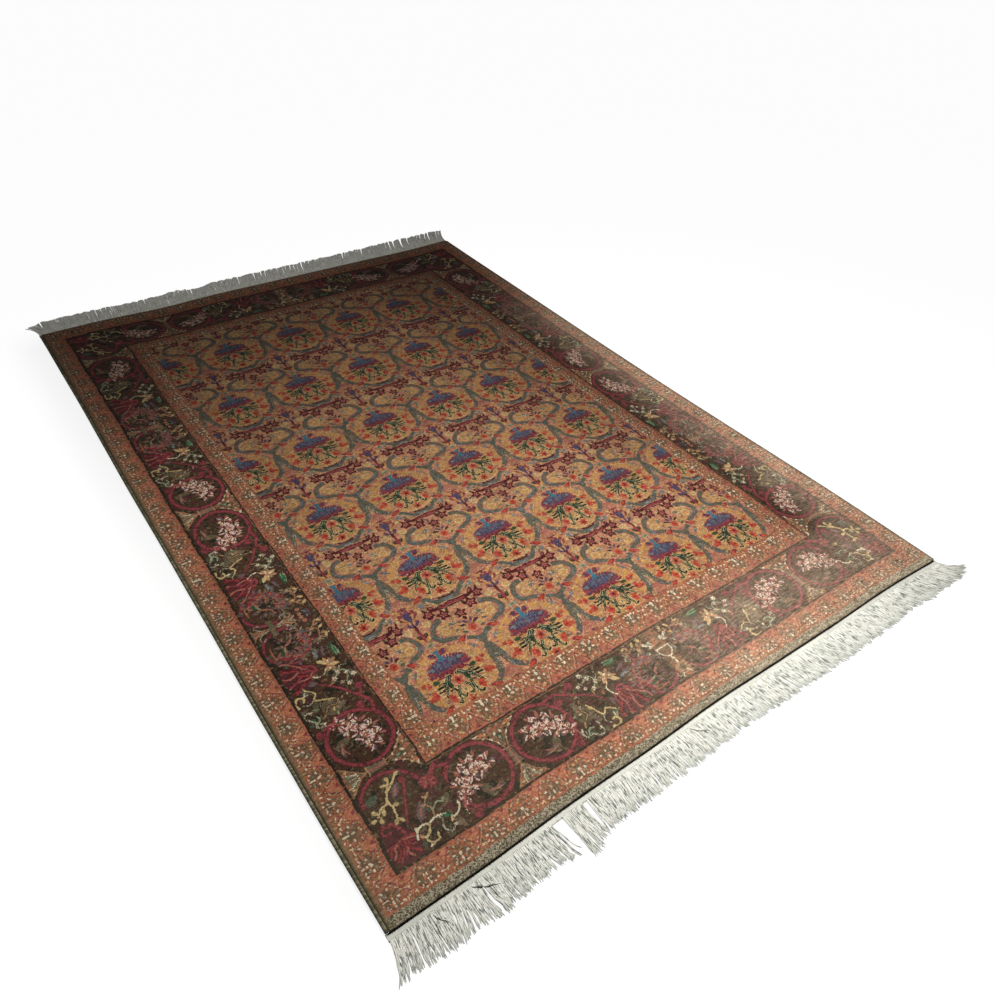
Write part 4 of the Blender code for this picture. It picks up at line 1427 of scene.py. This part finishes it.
def build_pile():
    """The pillow's faces, and the cell, knots and baking place that every corner carries."""
    layers, loops, unfolded = pile_layers()
    rows, columns = len(along.place), len(across.place)
    grid = np.arange(rows * columns).reshape(rows, columns)
    top, back = quads(grid), quads(grid + loops[-1][0])[:, ::-1]
    walls = [wall_between(upper, lower) for upper, lower in zip(loops, loops[1:])]
    # Every top face's strip, cell and share of that cell, corner by corner.
    strip_u, strip_v = (strip.ravel() for strip in np.meshgrid(np.arange(columns - 1), np.arange(rows - 1)))
    cell = np.stack([across.cell[strip_u], along.cell[strip_v]], axis=-1)
    share_u = np.stack([across.low, across.high, across.high, across.low], axis=-1)[strip_u]
    share_v = np.stack([along.low, along.low, along.high, along.high], axis=-1)[strip_v]
    share = np.stack([share_u, share_v], axis=-1)
    # A wall face takes its yarns from the top face that it hangs from, along their shared border.
    of_top = np.arange(len(top)).reshape(rows - 1, columns - 1)
    hangs = np.concatenate([of_top[0], of_top[:, -1], of_top[-1, ::-1], of_top[::-1, 0]])
    side = np.repeat(np.arange(4), [columns - 1, rows - 1, columns - 1, rows - 1])
    start, end = share[hangs, side], share[hangs, (side + 1) % 4]
    wall_share = np.stack([start, start, end, end], axis=1)
    cells = np.concatenate([cell, *[cell[hangs]] * len(walls), cell])
    shares = np.concatenate([share, *[wall_share] * len(walls), share[:, ::-1]])
    # The baking map: the top with its walls folded out takes two thirds of it, the back the rest.
    flat = np.stack(np.meshgrid(across.place, along.place), axis=-1).reshape(-1, 2)
    folded_out = [wall_between(upper, lower) for upper, lower in zip(unfolded, unfolded[1:])]
    bake_top = np.concatenate([flat[top], *folded_out]) / BAKE_TOP + TOP_MIDDLE
    bake_back = flat[top][:, ::-1] / BAKE_BACK * (-1, 1) + BACK_MIDDLE
    # The part is 0 for the top and the knots' ends below it, 1 for the bare wall, 2 for the back.
    part = np.repeat([0.0, 0.0, 1.0, 1.0, 2.0], [len(top), *(len(wall) for wall in walls), len(back)])
    yarns = packed_cells(chart)
    values = {f"knots_{row}": yarns[row][cells[:, 1], cells[:, 0]] for row in range(CELL_V)}
    knots = (shares + cells[:, None, :]) * (CELL_U, CELL_V)
    maps = {"OFBake": np.concatenate([bake_top, bake_back]), "cell": shares, "knots": knots}
    faces = np.concatenate([top, *walls, back])
    return make_piece("pile", np.concatenate(layers), faces, maps, {**values, "part": part})


pile = build_pile()
print("pile:", len(pile.data.vertices), "points,", len(pile.data.polygons), "faces")


# %% [markdown]
# ## The pile's finish
# Each spot of the pile finds its column and row in its cell, takes the value of that row, and
# divides by 32 once for each column before it to get its yarn's number. A colour ramp with 32
# even steps is the dyer's card. On top of that, every knot takes the dye a little differently,
# the dye lots change along the rug, short streaks follow the rows of knots, and the cut ends
# stand as small uneven tufts. A pale sheen is painted on the near end and the right side: one more
# colour mixed in by a mask, which also lightens these parts and livens their streaks. The first
# knots beside the left cord are a mossy brown. Last come broad patches of painted light and shade,
# lighter down the left side and the right edge and darker on the field's right and far end, and
# painted shade under the pile's edge: on the lower walls at the ends and on the near end's first row.

# %% Dyer's card and yarn numbers
CARD = [linear(colour) for colour in YARNS.values()]


def yarn_ramp(shader, number):
    """The dyer's card: 32 even steps, each with one yarn's colour."""
    made = shader.node("ShaderNodeValToRGB", None, {"Fac": (number + 0.5) / len(CARD)}, "Color")
    ramp = made.socket.node.color_ramp
    ramp.interpolation = "CONSTANT"
    while len(ramp.elements) < len(CARD):
        ramp.elements.new(0.5)
    for index, colour in enumerate(CARD):
        ramp.elements[index].position = index / len(CARD)
        ramp.elements[index].color = colour
    return made


def yarn_number(shader):
    """The number of the yarn at a spot of the pile, unpacked from its face's six values."""
    u, v = shader.map_place("cell")
    column = (u * CELL_U).floor().at_most(CELL_U - 1)
    row = (v * CELL_V).floor().at_most(CELL_V - 1)
    packed = sum(shader.attribute(f"knots_{r}") * row.is_near(r) for r in range(CELL_V))
    before = ((packed + 0.5) / shader.maths("POWER", YARN_BASE, column)).floor()
    return before - (before / YARN_BASE).floor() * YARN_BASE


# %% Pile's painted sheen, and painted light and shade
def painted_sheen_mask(across, along, patches):
    """How much pale sheen is painted on each spot: along the near end, more towards its right half,
    and along the right side, less towards its far half. Here and below, places are in knots
    across and along."""
    near_end = (1.0 - along.ramp(80.0, 160.0)) * (0.18 + across.ramp(230.0, 560.0) * 0.70)
    right_side = across.ramp(738.0, 820.0) * (1.0 - along.ramp(760.0, 1060.0))
    return near_end.at_least(right_side) * (0.5 + patches)


def between(value, rise, fall):
    """1 between two soft edges. Each edge is given by where it starts and where it ends."""
    return value.ramp(*rise) * (1.0 - value.ramp(*fall))


def painted_light_and_shade(across, along):
    """Broad patches of painted light and shade: lighter down the left side, on the left border and at
    the right edge, and darker on the field's right and at its far end."""
    left_side = (1.0 - across.ramp(80, 170)) * between(along, (380, 560), (740, 960))
    left_border = between(across, (30, 44), (104, 122)) * between(along, (240, 420), (860, 960))
    right_edge = across.ramp(796, 816) * along.ramp(330, 560)
    right_field = between(across, (560, 640), (728, 742)) * along.ramp(300, 420)
    far_field = between(across, (104, 118), (728, 742)) * between(along, (900, 1070), (1086, 1098))
    lighter = left_side * 0.178 + left_border * 0.133 + right_edge * 0.117
    return lighter - right_field * 0.108 - far_field * 0.075


# %% Pile finish put together
TUFT_HEIGHT = 0.0009   # m
# A dark colour painted as the shade under the pile's edge.
UNDER_EDGE_SHADE = linear((35, 30, 23))
# The pale tint of the sheen that is painted on the near end and the right side.
SHEEN_TINT = linear((204, 182, 158))
MOSS = linear((142, 126, 94))
SIDE_WALL = 0.836      # m from the middle, past which a wall is the side cord's neighbour


def pile_finish():
    """The level starts as own dye + lots + patches + fibres + streaks, and is scaled by the painted
    sheen and by broad patches of painted light and shade; the colour is the yarn with the sheen's
    pale tint, the mossy colour and the dark painted shade of the near end's first row mixed in. The
    walls have their own colours, a dark painted shade at the ends and moss at the sides, and the
    back has the plain yarn in a flat shade."""
    shader = Shader("knotted_wool")
    across_knots, along_knots = shader.map_place("knots")
    part = shader.attribute("part")
    yarn = yarn_ramp(shader, yarn_number(shader))
    own = shader.speckle(shader.point(across_knots.floor(), along_knots.floor()))
    lots = shader.noise(shader.point(across_knots * 0.002, along_knots * 0.035), 1.0, 3.0)
    patches = shader.noise(shader.point(across_knots * 0.02, along_knots * 0.02, 3.0), 1.0, 3.0)
    streaks = shader.noise(shader.point(across_knots * 0.11, along_knots * 0.42, 11.0), 1.0, 2.0)
    fibres = shader.noise(shader.point(across_knots * 1.7, along_knots * 1.7, 7.0), 1.0, 2.0)
    level = 0.65 + own * 0.50 + (lots - 0.5) * 0.30 + (patches - 0.5) * 0.34
    # How much pale sheen is painted here; it also lightens the spot and strengthens its flecks.
    painted_sheen = painted_sheen_mask(across_knots, along_knots, patches)
    level = level + (fibres - 0.5) * (0.4 + painted_sheen * 0.8) + (streaks - 0.5) * (1.0 + painted_sheen * 1.1)
    # The painted sheen's pale tint is mixed into the yarn.
    sheened_yarn = shader.mix(painted_sheen * 0.30, yarn, SHEEN_TINT)
    mossy = shader.mix((1.0 - across_knots.ramp(1.0, 9.0)) * 0.6, sheened_yarn, MOSS)
    # The near end's first row of knots is painted dark, as the shade under the pile's edge.
    near_row_shade = shader.mix(1.0 - along_knots.ramp(0.2, 1.4), mossy, UNDER_EDGE_SHADE)
    # Painted light and shade: the painted sheen lightens its spots, and broad patches lighten or darken
    # others.
    level = level * (0.583 + painted_sheen * 0.225 + painted_light_and_shade(across_knots, along_knots))
    top = shader.shaded(near_row_shade, level)
    beside = shader.part_of(shader.place(), "X").size().over(SIDE_WALL)
    # The lower walls at the ends are painted dark, as the shade under the pile's edge; at the sides they are
    # moss.
    wall = shader.mix(beside, UNDER_EDGE_SHADE, MOSS)
    ground = shader.mix(part.is_near(1.0), top, wall)
    colour = shader.mix(part.over(1.5), ground, shader.shaded(yarn, 0.42 + own * 0.11))
    tuft = (across_knots.fraction() * math.pi).sine() * (along_knots.fraction() * math.pi).sine()
    height = tuft * 0.35 + fibres * 1.2 + patches * 2.0
    normal = shader.bump(height, TUFT_HEIGHT, 0.6)
    soft = {"Sheen Weight": 0.067, "Sheen Roughness": 0.5, "Specular IOR Level": 0.083}
    return shader.finish(colour, 0.95, normal, soft)


dress(pile, pile_finish(), ["pile_body"])
print("yarns on the card:", len(CARD))


# %% [markdown]
# ## Side cords
# Each side of the rug is finished with a cord of warps, overcast with wool all along. The wraps
# lie side by side at a slant and each one stands out a little, which is what the ridges below
# are. The section is that of the solid cord: flat on the pile's side and on the floor, and round
# outside.

# %% Shut tubes
def tube_faces(stations, sides, tubes=1):
    """The sides of open tubes whose rings of points are numbered one after another."""
    ring = np.arange(sides)
    first = (np.arange(tubes)[:, None] * stations + np.arange(stations - 1)[None, :]).reshape(-1, 1) * sides
    here, after = first + ring, first + np.roll(ring, -1)
    return np.stack([here, after, after + sides, here + sides], axis=-1).reshape(-1, 4)


def ring_caps(stations, sides):
    """Shuts both ends of one tube whose rings have an even number of points, with a ladder of quads
    between each ring's two halves."""
    low = np.array([(k, sides - 1 - k, sides - 2 - k, k + 1) for k in range(sides // 2 - 1)])
    return np.concatenate([low, low[:, ::-1] + (stations - 1) * sides])


def shut_tube(name, points, facing, maps):
    """A piece from the rings of one shut tube. `facing` is 1 where its rings run so that faces look
    out, and -1 where they have to be turned; the maps' values are point by point."""
    stations, sides = points.shape[:2]
    faces = np.concatenate([tube_faces(stations, sides), ring_caps(stations, sides)])
    faces = faces if facing > 0 else faces[:, ::-1]
    maps = {key: values.reshape(-1, 2)[faces] for key, values in maps.items()}
    return make_piece(name, points.reshape(-1, 3), faces, maps)


# %% Side cords
CORD_WIDTH, CORD_HEIGHT = 7.0, 8.6   # mm
HALF_CORD = 1196.0                   # half the cord's length, mm
WRAP_PITCH, WRAP_SLANT = 3.2, 2.2    # mm
# The section, out from the pile and up, as shares of the width and the height.
CORD_SECTION = (
    (0.0, 0.0), (0.62, 0.0), (0.93, 0.18), (1.0, 0.45), (0.90, 0.76), (0.62, 0.96), (0.25, 1.0), (0.0, 0.92),
)


def overcast_cord(name, side):
    """Rings every 0.8 mm from end to end. A wrap's ridge is highest halfway between two slanted
    grooves, and it fades out against the pile and the floor, where the cord is flat."""
    y = np.arange(-HALF_CORD, HALF_CORD + 0.01, 0.8)[:, None]
    out, up = np.array(CORD_SECTION).T
    turn = np.linspace(0, 1, len(out))
    free = np.sin(np.pi * turn)
    wrap = (y + WRAP_SLANT * turn * 2) / WRAP_PITCH
    phase = wrap + 0.25 * np.sin(y / 37) + 0.1 * np.sin(y / 11)
    ridge = 0.55 * (np.abs(np.sin(np.pi * phase)) - 0.75) * free
    slack = 0.25 * np.sin(y / 61 + side) * free
    x = side * (HALF_WIDTH - CORD_WIDTH + CORD_WIDTH * out + (ridge + slack) * out)
    z = CORD_HEIGHT * up + ridge * up
    points = np.stack([*on_rug(x, y), z / 1000], axis=-1)
    wraps = np.stack(np.broadcast_arrays(turn, wrap), axis=-1)
    return shut_tube(name, points, -side, {"wraps": wraps})


# %% Cord finish
def cord_finish():
    """Dark olive wool: each wrap has its own shade, and the grooves between the wraps are painted
    darker, as shade.
    """
    shader = Shader("overcast_wool")
    around, wrap = shader.map_place("wraps")
    own = shader.speckle(shader.point(wrap.floor(), 0.0))
    groove = (wrap.fraction() * math.pi).sine()
    stains = shader.noise(shader.place(), 14.0, 3.0)
    fibres = shader.noise(shader.place(), 900.0, 2.0)
    dye = (own * 0.7 + stains * 0.5 - 0.35).ramp(0.1, 0.7)
    pale = shader.mix(dye, linear((108, 103, 80)), linear((172, 165, 136)))
    # The level is painted lower in the grooves between the wraps, as shade.
    colour = shader.shaded(pale, 0.285 + groove * 0.285 + fibres * 0.22)
    normal = shader.bump(fibres + groove * 0.5, 0.0004, 0.5)
    return shader.finish(colour, 0.95, normal, {"Specular IOR Level": 0.2})


wool = cord_finish()
for name, side in (("side_cord_left", -1), ("side_cord_right", 1)):
    cord = overcast_cord("overcast_" + name, side)
    dress(cord, wool, [name])
print("wraps along a cord:", int(2 * HALF_CORD / WRAP_PITCH))

# %% [markdown]
# ## End bands
# The pile stops a little before the warps do. A narrow band of plain weave, all of cotton, holds
# the last row of knots in place, and the pile leans out over its inner edge. Its ribs run along
# the rug, because the thick warps show through the thin weft.

# %% End bands
BAND_WIDTH = 12.0   # mm
RIB_PITCH = 4.5     # mm, one pair of warps
# The section, out from the pile's end and up, in mm. Its inner edge is tucked in under the pile.
BAND_SECTION = (
    (-3.0, 0.0), (BAND_WIDTH, 0.0), (12.1, 1.0), (11.7, 2.0), (10.6, 2.6),
    (7.5, 2.7), (4.5, 2.6), (1.5, 2.5), (-1.0, 2.4), (-3.0, 2.3),
)


def woven_band(name, end):
    """Rings of the section every 1.5 mm across the rug, their top swelling over each warp pair."""
    x = np.linspace(-HALF_WIDTH, HALF_WIDTH, 1134)[:, None]
    out, up = np.array(BAND_SECTION).T
    rib = 0.22 * np.sin(x * 2 * np.pi / RIB_PITCH) + 0.25 * np.sin(x / 23) * np.sin(x / 57)
    z = np.clip((up + rib * (up > 0)) / 1000, 0, None)
    points = np.stack([*on_rug(x, end * (HALF_LENGTH + out)), z], axis=-1)
    weave = np.stack(np.broadcast_arrays(x, out), axis=-1)
    return shut_tube(name, points, end, {"weave": weave})


# %% Band finish
def band_finish():
    """Undyed cotton in plain weave, with shade painted where the pile leans over it. The near band
    is painted darker, as shade, with a ragged shaded edge, and shows painted shade between the
    strands that leave it. The weave's raised crossings are painted a little lighter and its hollows
    darker, as light and shade."""
    shader = Shader("flat_woven_cotton")
    x, out = shader.map_place("weave")
    over_under = (x * (math.pi / 1.1)).sine() * (out * (math.pi / 0.7)).sine()
    stains = shader.noise(shader.place(), 9.0, 4.0, 0.6)
    near = 1.0 - shader.part_of(shader.place(), "Y").over(0.0)
    hairs = shader.noise(shader.point(x * 0.35, out * 0.12, 4.0), 1.0, 3.0)
    # Shade painted along the inner edge, where the pile leans over the band; ragged on the near band.
    soil_and_shade = 1.0 - (out + (hairs - 0.5) * near * 14.0).ramp(-1.5, 3.4)
    # Painted shade between the strands where they leave the near band.
    root_shade = near * out.ramp(7.0, 11.0) * hairs.ramp(0.50, 0.60) * 0.9
    colour = shader.mix(soil_and_shade.at_least(root_shade) * 0.7, linear((250, 250, 238)), linear((70, 62, 44)))
    # The near band is painted darker, as shade; the weave's crossings are painted lighter and its hollows
    # darker.
    shade = shader.shaded(colour, 0.92 - near * 0.33 + over_under * 0.06 + (stains - 0.5) * 0.50)
    return shader.finish(shade, 0.9, shader.bump(over_under, 0.0003, 0.6), {"Specular IOR Level": 0.2})


cotton = band_finish()
for name, end in (("end_band_near", -1), ("end_band_far", 1)):
    band = woven_band("woven_" + name, end)
    dress(band, cotton, [name])
print("bands:", len(band.data.polygons), "faces each")


# %% [markdown]
# ## Fringes
# The fringe is the warps themselves, left long beyond the band. They come out in small bunches,
# lie down on the floor over one another, and end unevenly, because they have been combed,
# stepped on and worn for years. All the strands of a fringe are one mesh, laid out at once as an
# array of rings: strand by strand, ring by ring. Each one starts in the band's outer edge, leans
# the way that its part of the fringe does, and wanders on its own.

# %% Fringes
STRANDS, STRAND_RINGS, STRAND_SIDES = 1440, 14, 5
BUNCHES = 190   # across a fringe
# How the fringe lies: share across, length in mm, sideways lean of the tip, curl back of the tip.
NEAR_LAY = (
    (0.000, 62, -18, 0.0), (0.040, 70, 0, 0.0), (0.075, 69, -10, 0.0), (0.110, 70, 10, 0.0),
    (0.160, 68, 2, 0.0), (0.205, 68, 12, 0.0), (0.232, 92, 6, 0.0), (0.255, 70, 10, 0.0),
    (0.290, 68, -4, 0.0), (0.500, 66, 4, 0.0), (0.620, 69, 16, 0.0), (0.750, 68, 14, 0.0),
    (0.850, 66, 22, 0.0), (0.900, 66, 40, 0.0), (0.985, 58, 52, 0.0), (1.000, 40, 64, 0.0),
)
FAR_LAY = (
    (0.000, 92, -34, 0.30), (0.015, 94, 0, 0.0), (0.200, 93, 8, 0.0), (0.300, 108, 10, 0.0),
    (0.336, 84, 12, 0.0), (0.380, 102, 16, 0.0), (0.500, 104, 24, 0.0), (0.700, 106, 36, 0.0),
    (0.850, 118, 40, 0.0), (1.000, 108, 44, 0.0),
)
NEAR_PARTINGS = ((0.213, 0.229), (0.259, 0.266))   # where strands have been brushed apart


def strand_lines(end, lay, partings, count, loose, seed):
    """Centres of every strand's rings, strand by strand, and their radii, in mm.

    Going out by a share r of its length, a strand is at root + lean * r ^ 1.5 sideways, plus its
    own crinkle and its bunch's lean; outwards at length * (r - curl * r ^ 2); and its height starts
    in the band, rises over its neighbours by its own amount and settles on the floor at the tip.
    `loose` is how unevenly the strands lie: 1 for tousled, with a few short strays thrown aside,
    and 0 for combed into soft scallops."""
    chance = np.random.default_rng(seed)
    share = (np.arange(count) + chance.uniform(-0.9, 0.9, count)) / (count - 1)
    share = np.clip(share, 0.0015, 0.9985)
    for low, high in partings:
        share = share[(share < low) | (share > high)]
    count = len(share)
    shares, length, lean, curl = np.array(lay).T
    length, lean, curl = (np.interp(share, shares, column)[:, None] for column in (length, lean, curl))
    bunch = np.floor(share * BUNCHES + 0.3 * np.sin(share * 70)).astype(int)
    bunch_draw = chance.uniform(-1, 1, (bunch.max() + 1, 4))[bunch]
    own = chance.uniform(-1, 1, (count, 8))
    r = np.linspace(0, 1, STRAND_RINGS)[None, :]
    uneven = (0.006 + 0.05 * loose) * (bunch_draw[:, :1] + own[:, 1:2])
    scallop = (1 - loose) * 0.035 * np.sin(260 * share + 3 * np.sin(61 * share))[:, None]
    length = (length + 4.0) * (1 + uneven - 0.10 * loose * np.abs(own[:, :1]) ** 3) * (1 + scallop)
    lean = lean * (1 + 0.12 * bunch_draw[:, 1:2])
    lean = lean + (1 + 2 * loose) * (1.6 * bunch_draw[:, 2:3] + 2.6 * own[:, 2:3])
    stray = (np.abs(own[:, 3:4]) > 0.995) * loose
    lean = lean + stray * 70 * own[:, 4:5]
    turns = 1.6 + 0.9 * own[:, 4:5]
    crinkle = (0.5 + 1.5 * loose) * own[:, 3:4] * np.sin(2 * np.pi * (r * turns + own[:, 5:6])) * r ** 0.5
    x = (2 * share[:, None] - 1) * HALF_WIDTH + lean * r ** 1.5 + crinkle
    out = BAND_WIDTH - 1.2 + length * (r - curl * r * r) * (1 - 0.4 * stray)
    arch = np.sin(np.pi * np.clip(r * 1.15, 0, 1)) ** 0.8
    rest = 1.2 + 1.5 * (1 - r) ** 4 + 1.2 * np.abs(own[:, 6:7]) * (1 - r)
    rise = (0.5 + 2.6 * np.abs(own[:, 7:8])) * arch * (0.75 + 0.25 * bunch_draw[:, 3:4])
    z = rest + rise + 2.5 * stray * arch
    radius = (1.55 - 0.25 * loose * r ** 2 + 0.15 * (1 - loose) * r) * (1 + 0.12 * own[:, 4:5])
    radius = radius * np.where(r > 0.98, 0.55, 1.0)
    px, py = on_rug(x, end * HALF_LENGTH)
    return np.stack([px * 1000, py * 1000 + end * out, np.maximum(z, radius)], axis=-1), radius


# %% Fringe strands as tubes
def strands(name, lines, radius):
    """Tubes round the centre lines. A ring's own axes are across the strand on the floor and up.
    The map gives each point its strand's number and its reach, 0 at the root and 1 at the tip."""
    along_strand = np.gradient(lines, axis=1)
    sideways = np.stack([along_strand[..., 1], -along_strand[..., 0], 0 * along_strand[..., 0]], axis=-1)
    sideways /= np.linalg.norm(sideways, axis=-1, keepdims=True)
    up = np.cross(sideways, along_strand)
    up /= np.linalg.norm(up, axis=-1, keepdims=True)
    angle = 2 * np.pi * np.arange(STRAND_SIDES) / STRAND_SIDES + 0.3
    ring = np.cos(angle)[:, None] * sideways[:, :, None] + np.sin(angle)[:, None] * up[:, :, None]
    points = lines[:, :, None] + radius[:, :, None, None] * ring
    faces = tube_faces(STRAND_RINGS, STRAND_SIDES, len(lines))
    number = np.broadcast_to(np.arange(len(lines))[:, None, None], points.shape[:3])
    reach = np.broadcast_to(np.linspace(0, 1, STRAND_RINGS)[None, :, None], points.shape[:3])
    place = np.stack([number.ravel() + 0.5, reach.ravel()], axis=-1)
    return make_piece(name, points.reshape(-1, 3) / 1000, faces, {"strand": place[faces]})


# %% Fringe finish
def fringe_finish():
    """Off-white cotton with grey-green dashes of painted shade where strands turn under one another.
    The near fringe is painted darker, as shade, with a grimy patch here and there and grey tips;
    the far one is a little lighter, as painted light, and its dashes are fainter."""
    shader = Shader("fringe_cotton")
    number, reach = shader.map_place("strand")
    own = shader.speckle(shader.point(number.floor(), 1.0))
    dashes = shader.noise(shader.point(number.floor() * 0.42, reach * 3.8, 2.0), 1.0, 2.0)
    soil = shader.noise(shader.place(), 22.0, 3.0)
    near = 1.0 - shader.part_of(shader.place(), "Y").over(0.0)
    bunches = shader.noise(shader.point(number * 0.06, reach * 1.6, 5.0), 1.0, 2.0)
    soil_and_shade = own * 0.5 + (soil - 0.5) * 0.8 + (bunches - 0.5) * near * 1.4
    clean = shader.mix(soil_and_shade, linear((254, 253, 244)), linear((228, 229, 217)))
    grey_tips = reach.ramp(0.7, 1.0) * near * 0.35
    # Painted shade: grey-green dashes where strands turn under one another, stronger on the near fringe, with
    # its grey tips.
    turned = (0.45 + near * 0.55) * (dashes.ramp(0.48, 0.64) * 0.80).at_least(grey_tips)
    dashed = shader.mix(turned, clean, linear((108, 121, 110)))
    # The near fringe is painted darker, as shade, and the far one a little lighter, as painted light.
    colour = shader.shaded(dashed, 1.06 - near * 0.36)
    soft = {"Specular IOR Level": 0.2, "Sheen Weight": 0.5, "Sheen Roughness": 0.5}
    return shader.finish(colour, 0.85, None, soft)


yarn_white = fringe_finish()
for name, end, lay, partings, loose in (
    ("fringe_near", -1, NEAR_LAY, NEAR_PARTINGS, 1.0),
    ("fringe_far", 1, FAR_LAY, (), 0.0),
):
    lines, radius = strand_lines(end, lay, partings, STRANDS, loose, 50 + end)
    piece = strands("strands_" + name, lines, radius)
    dress(piece, yarn_white, [name])
    print(name + ":", len(lines), "strands")
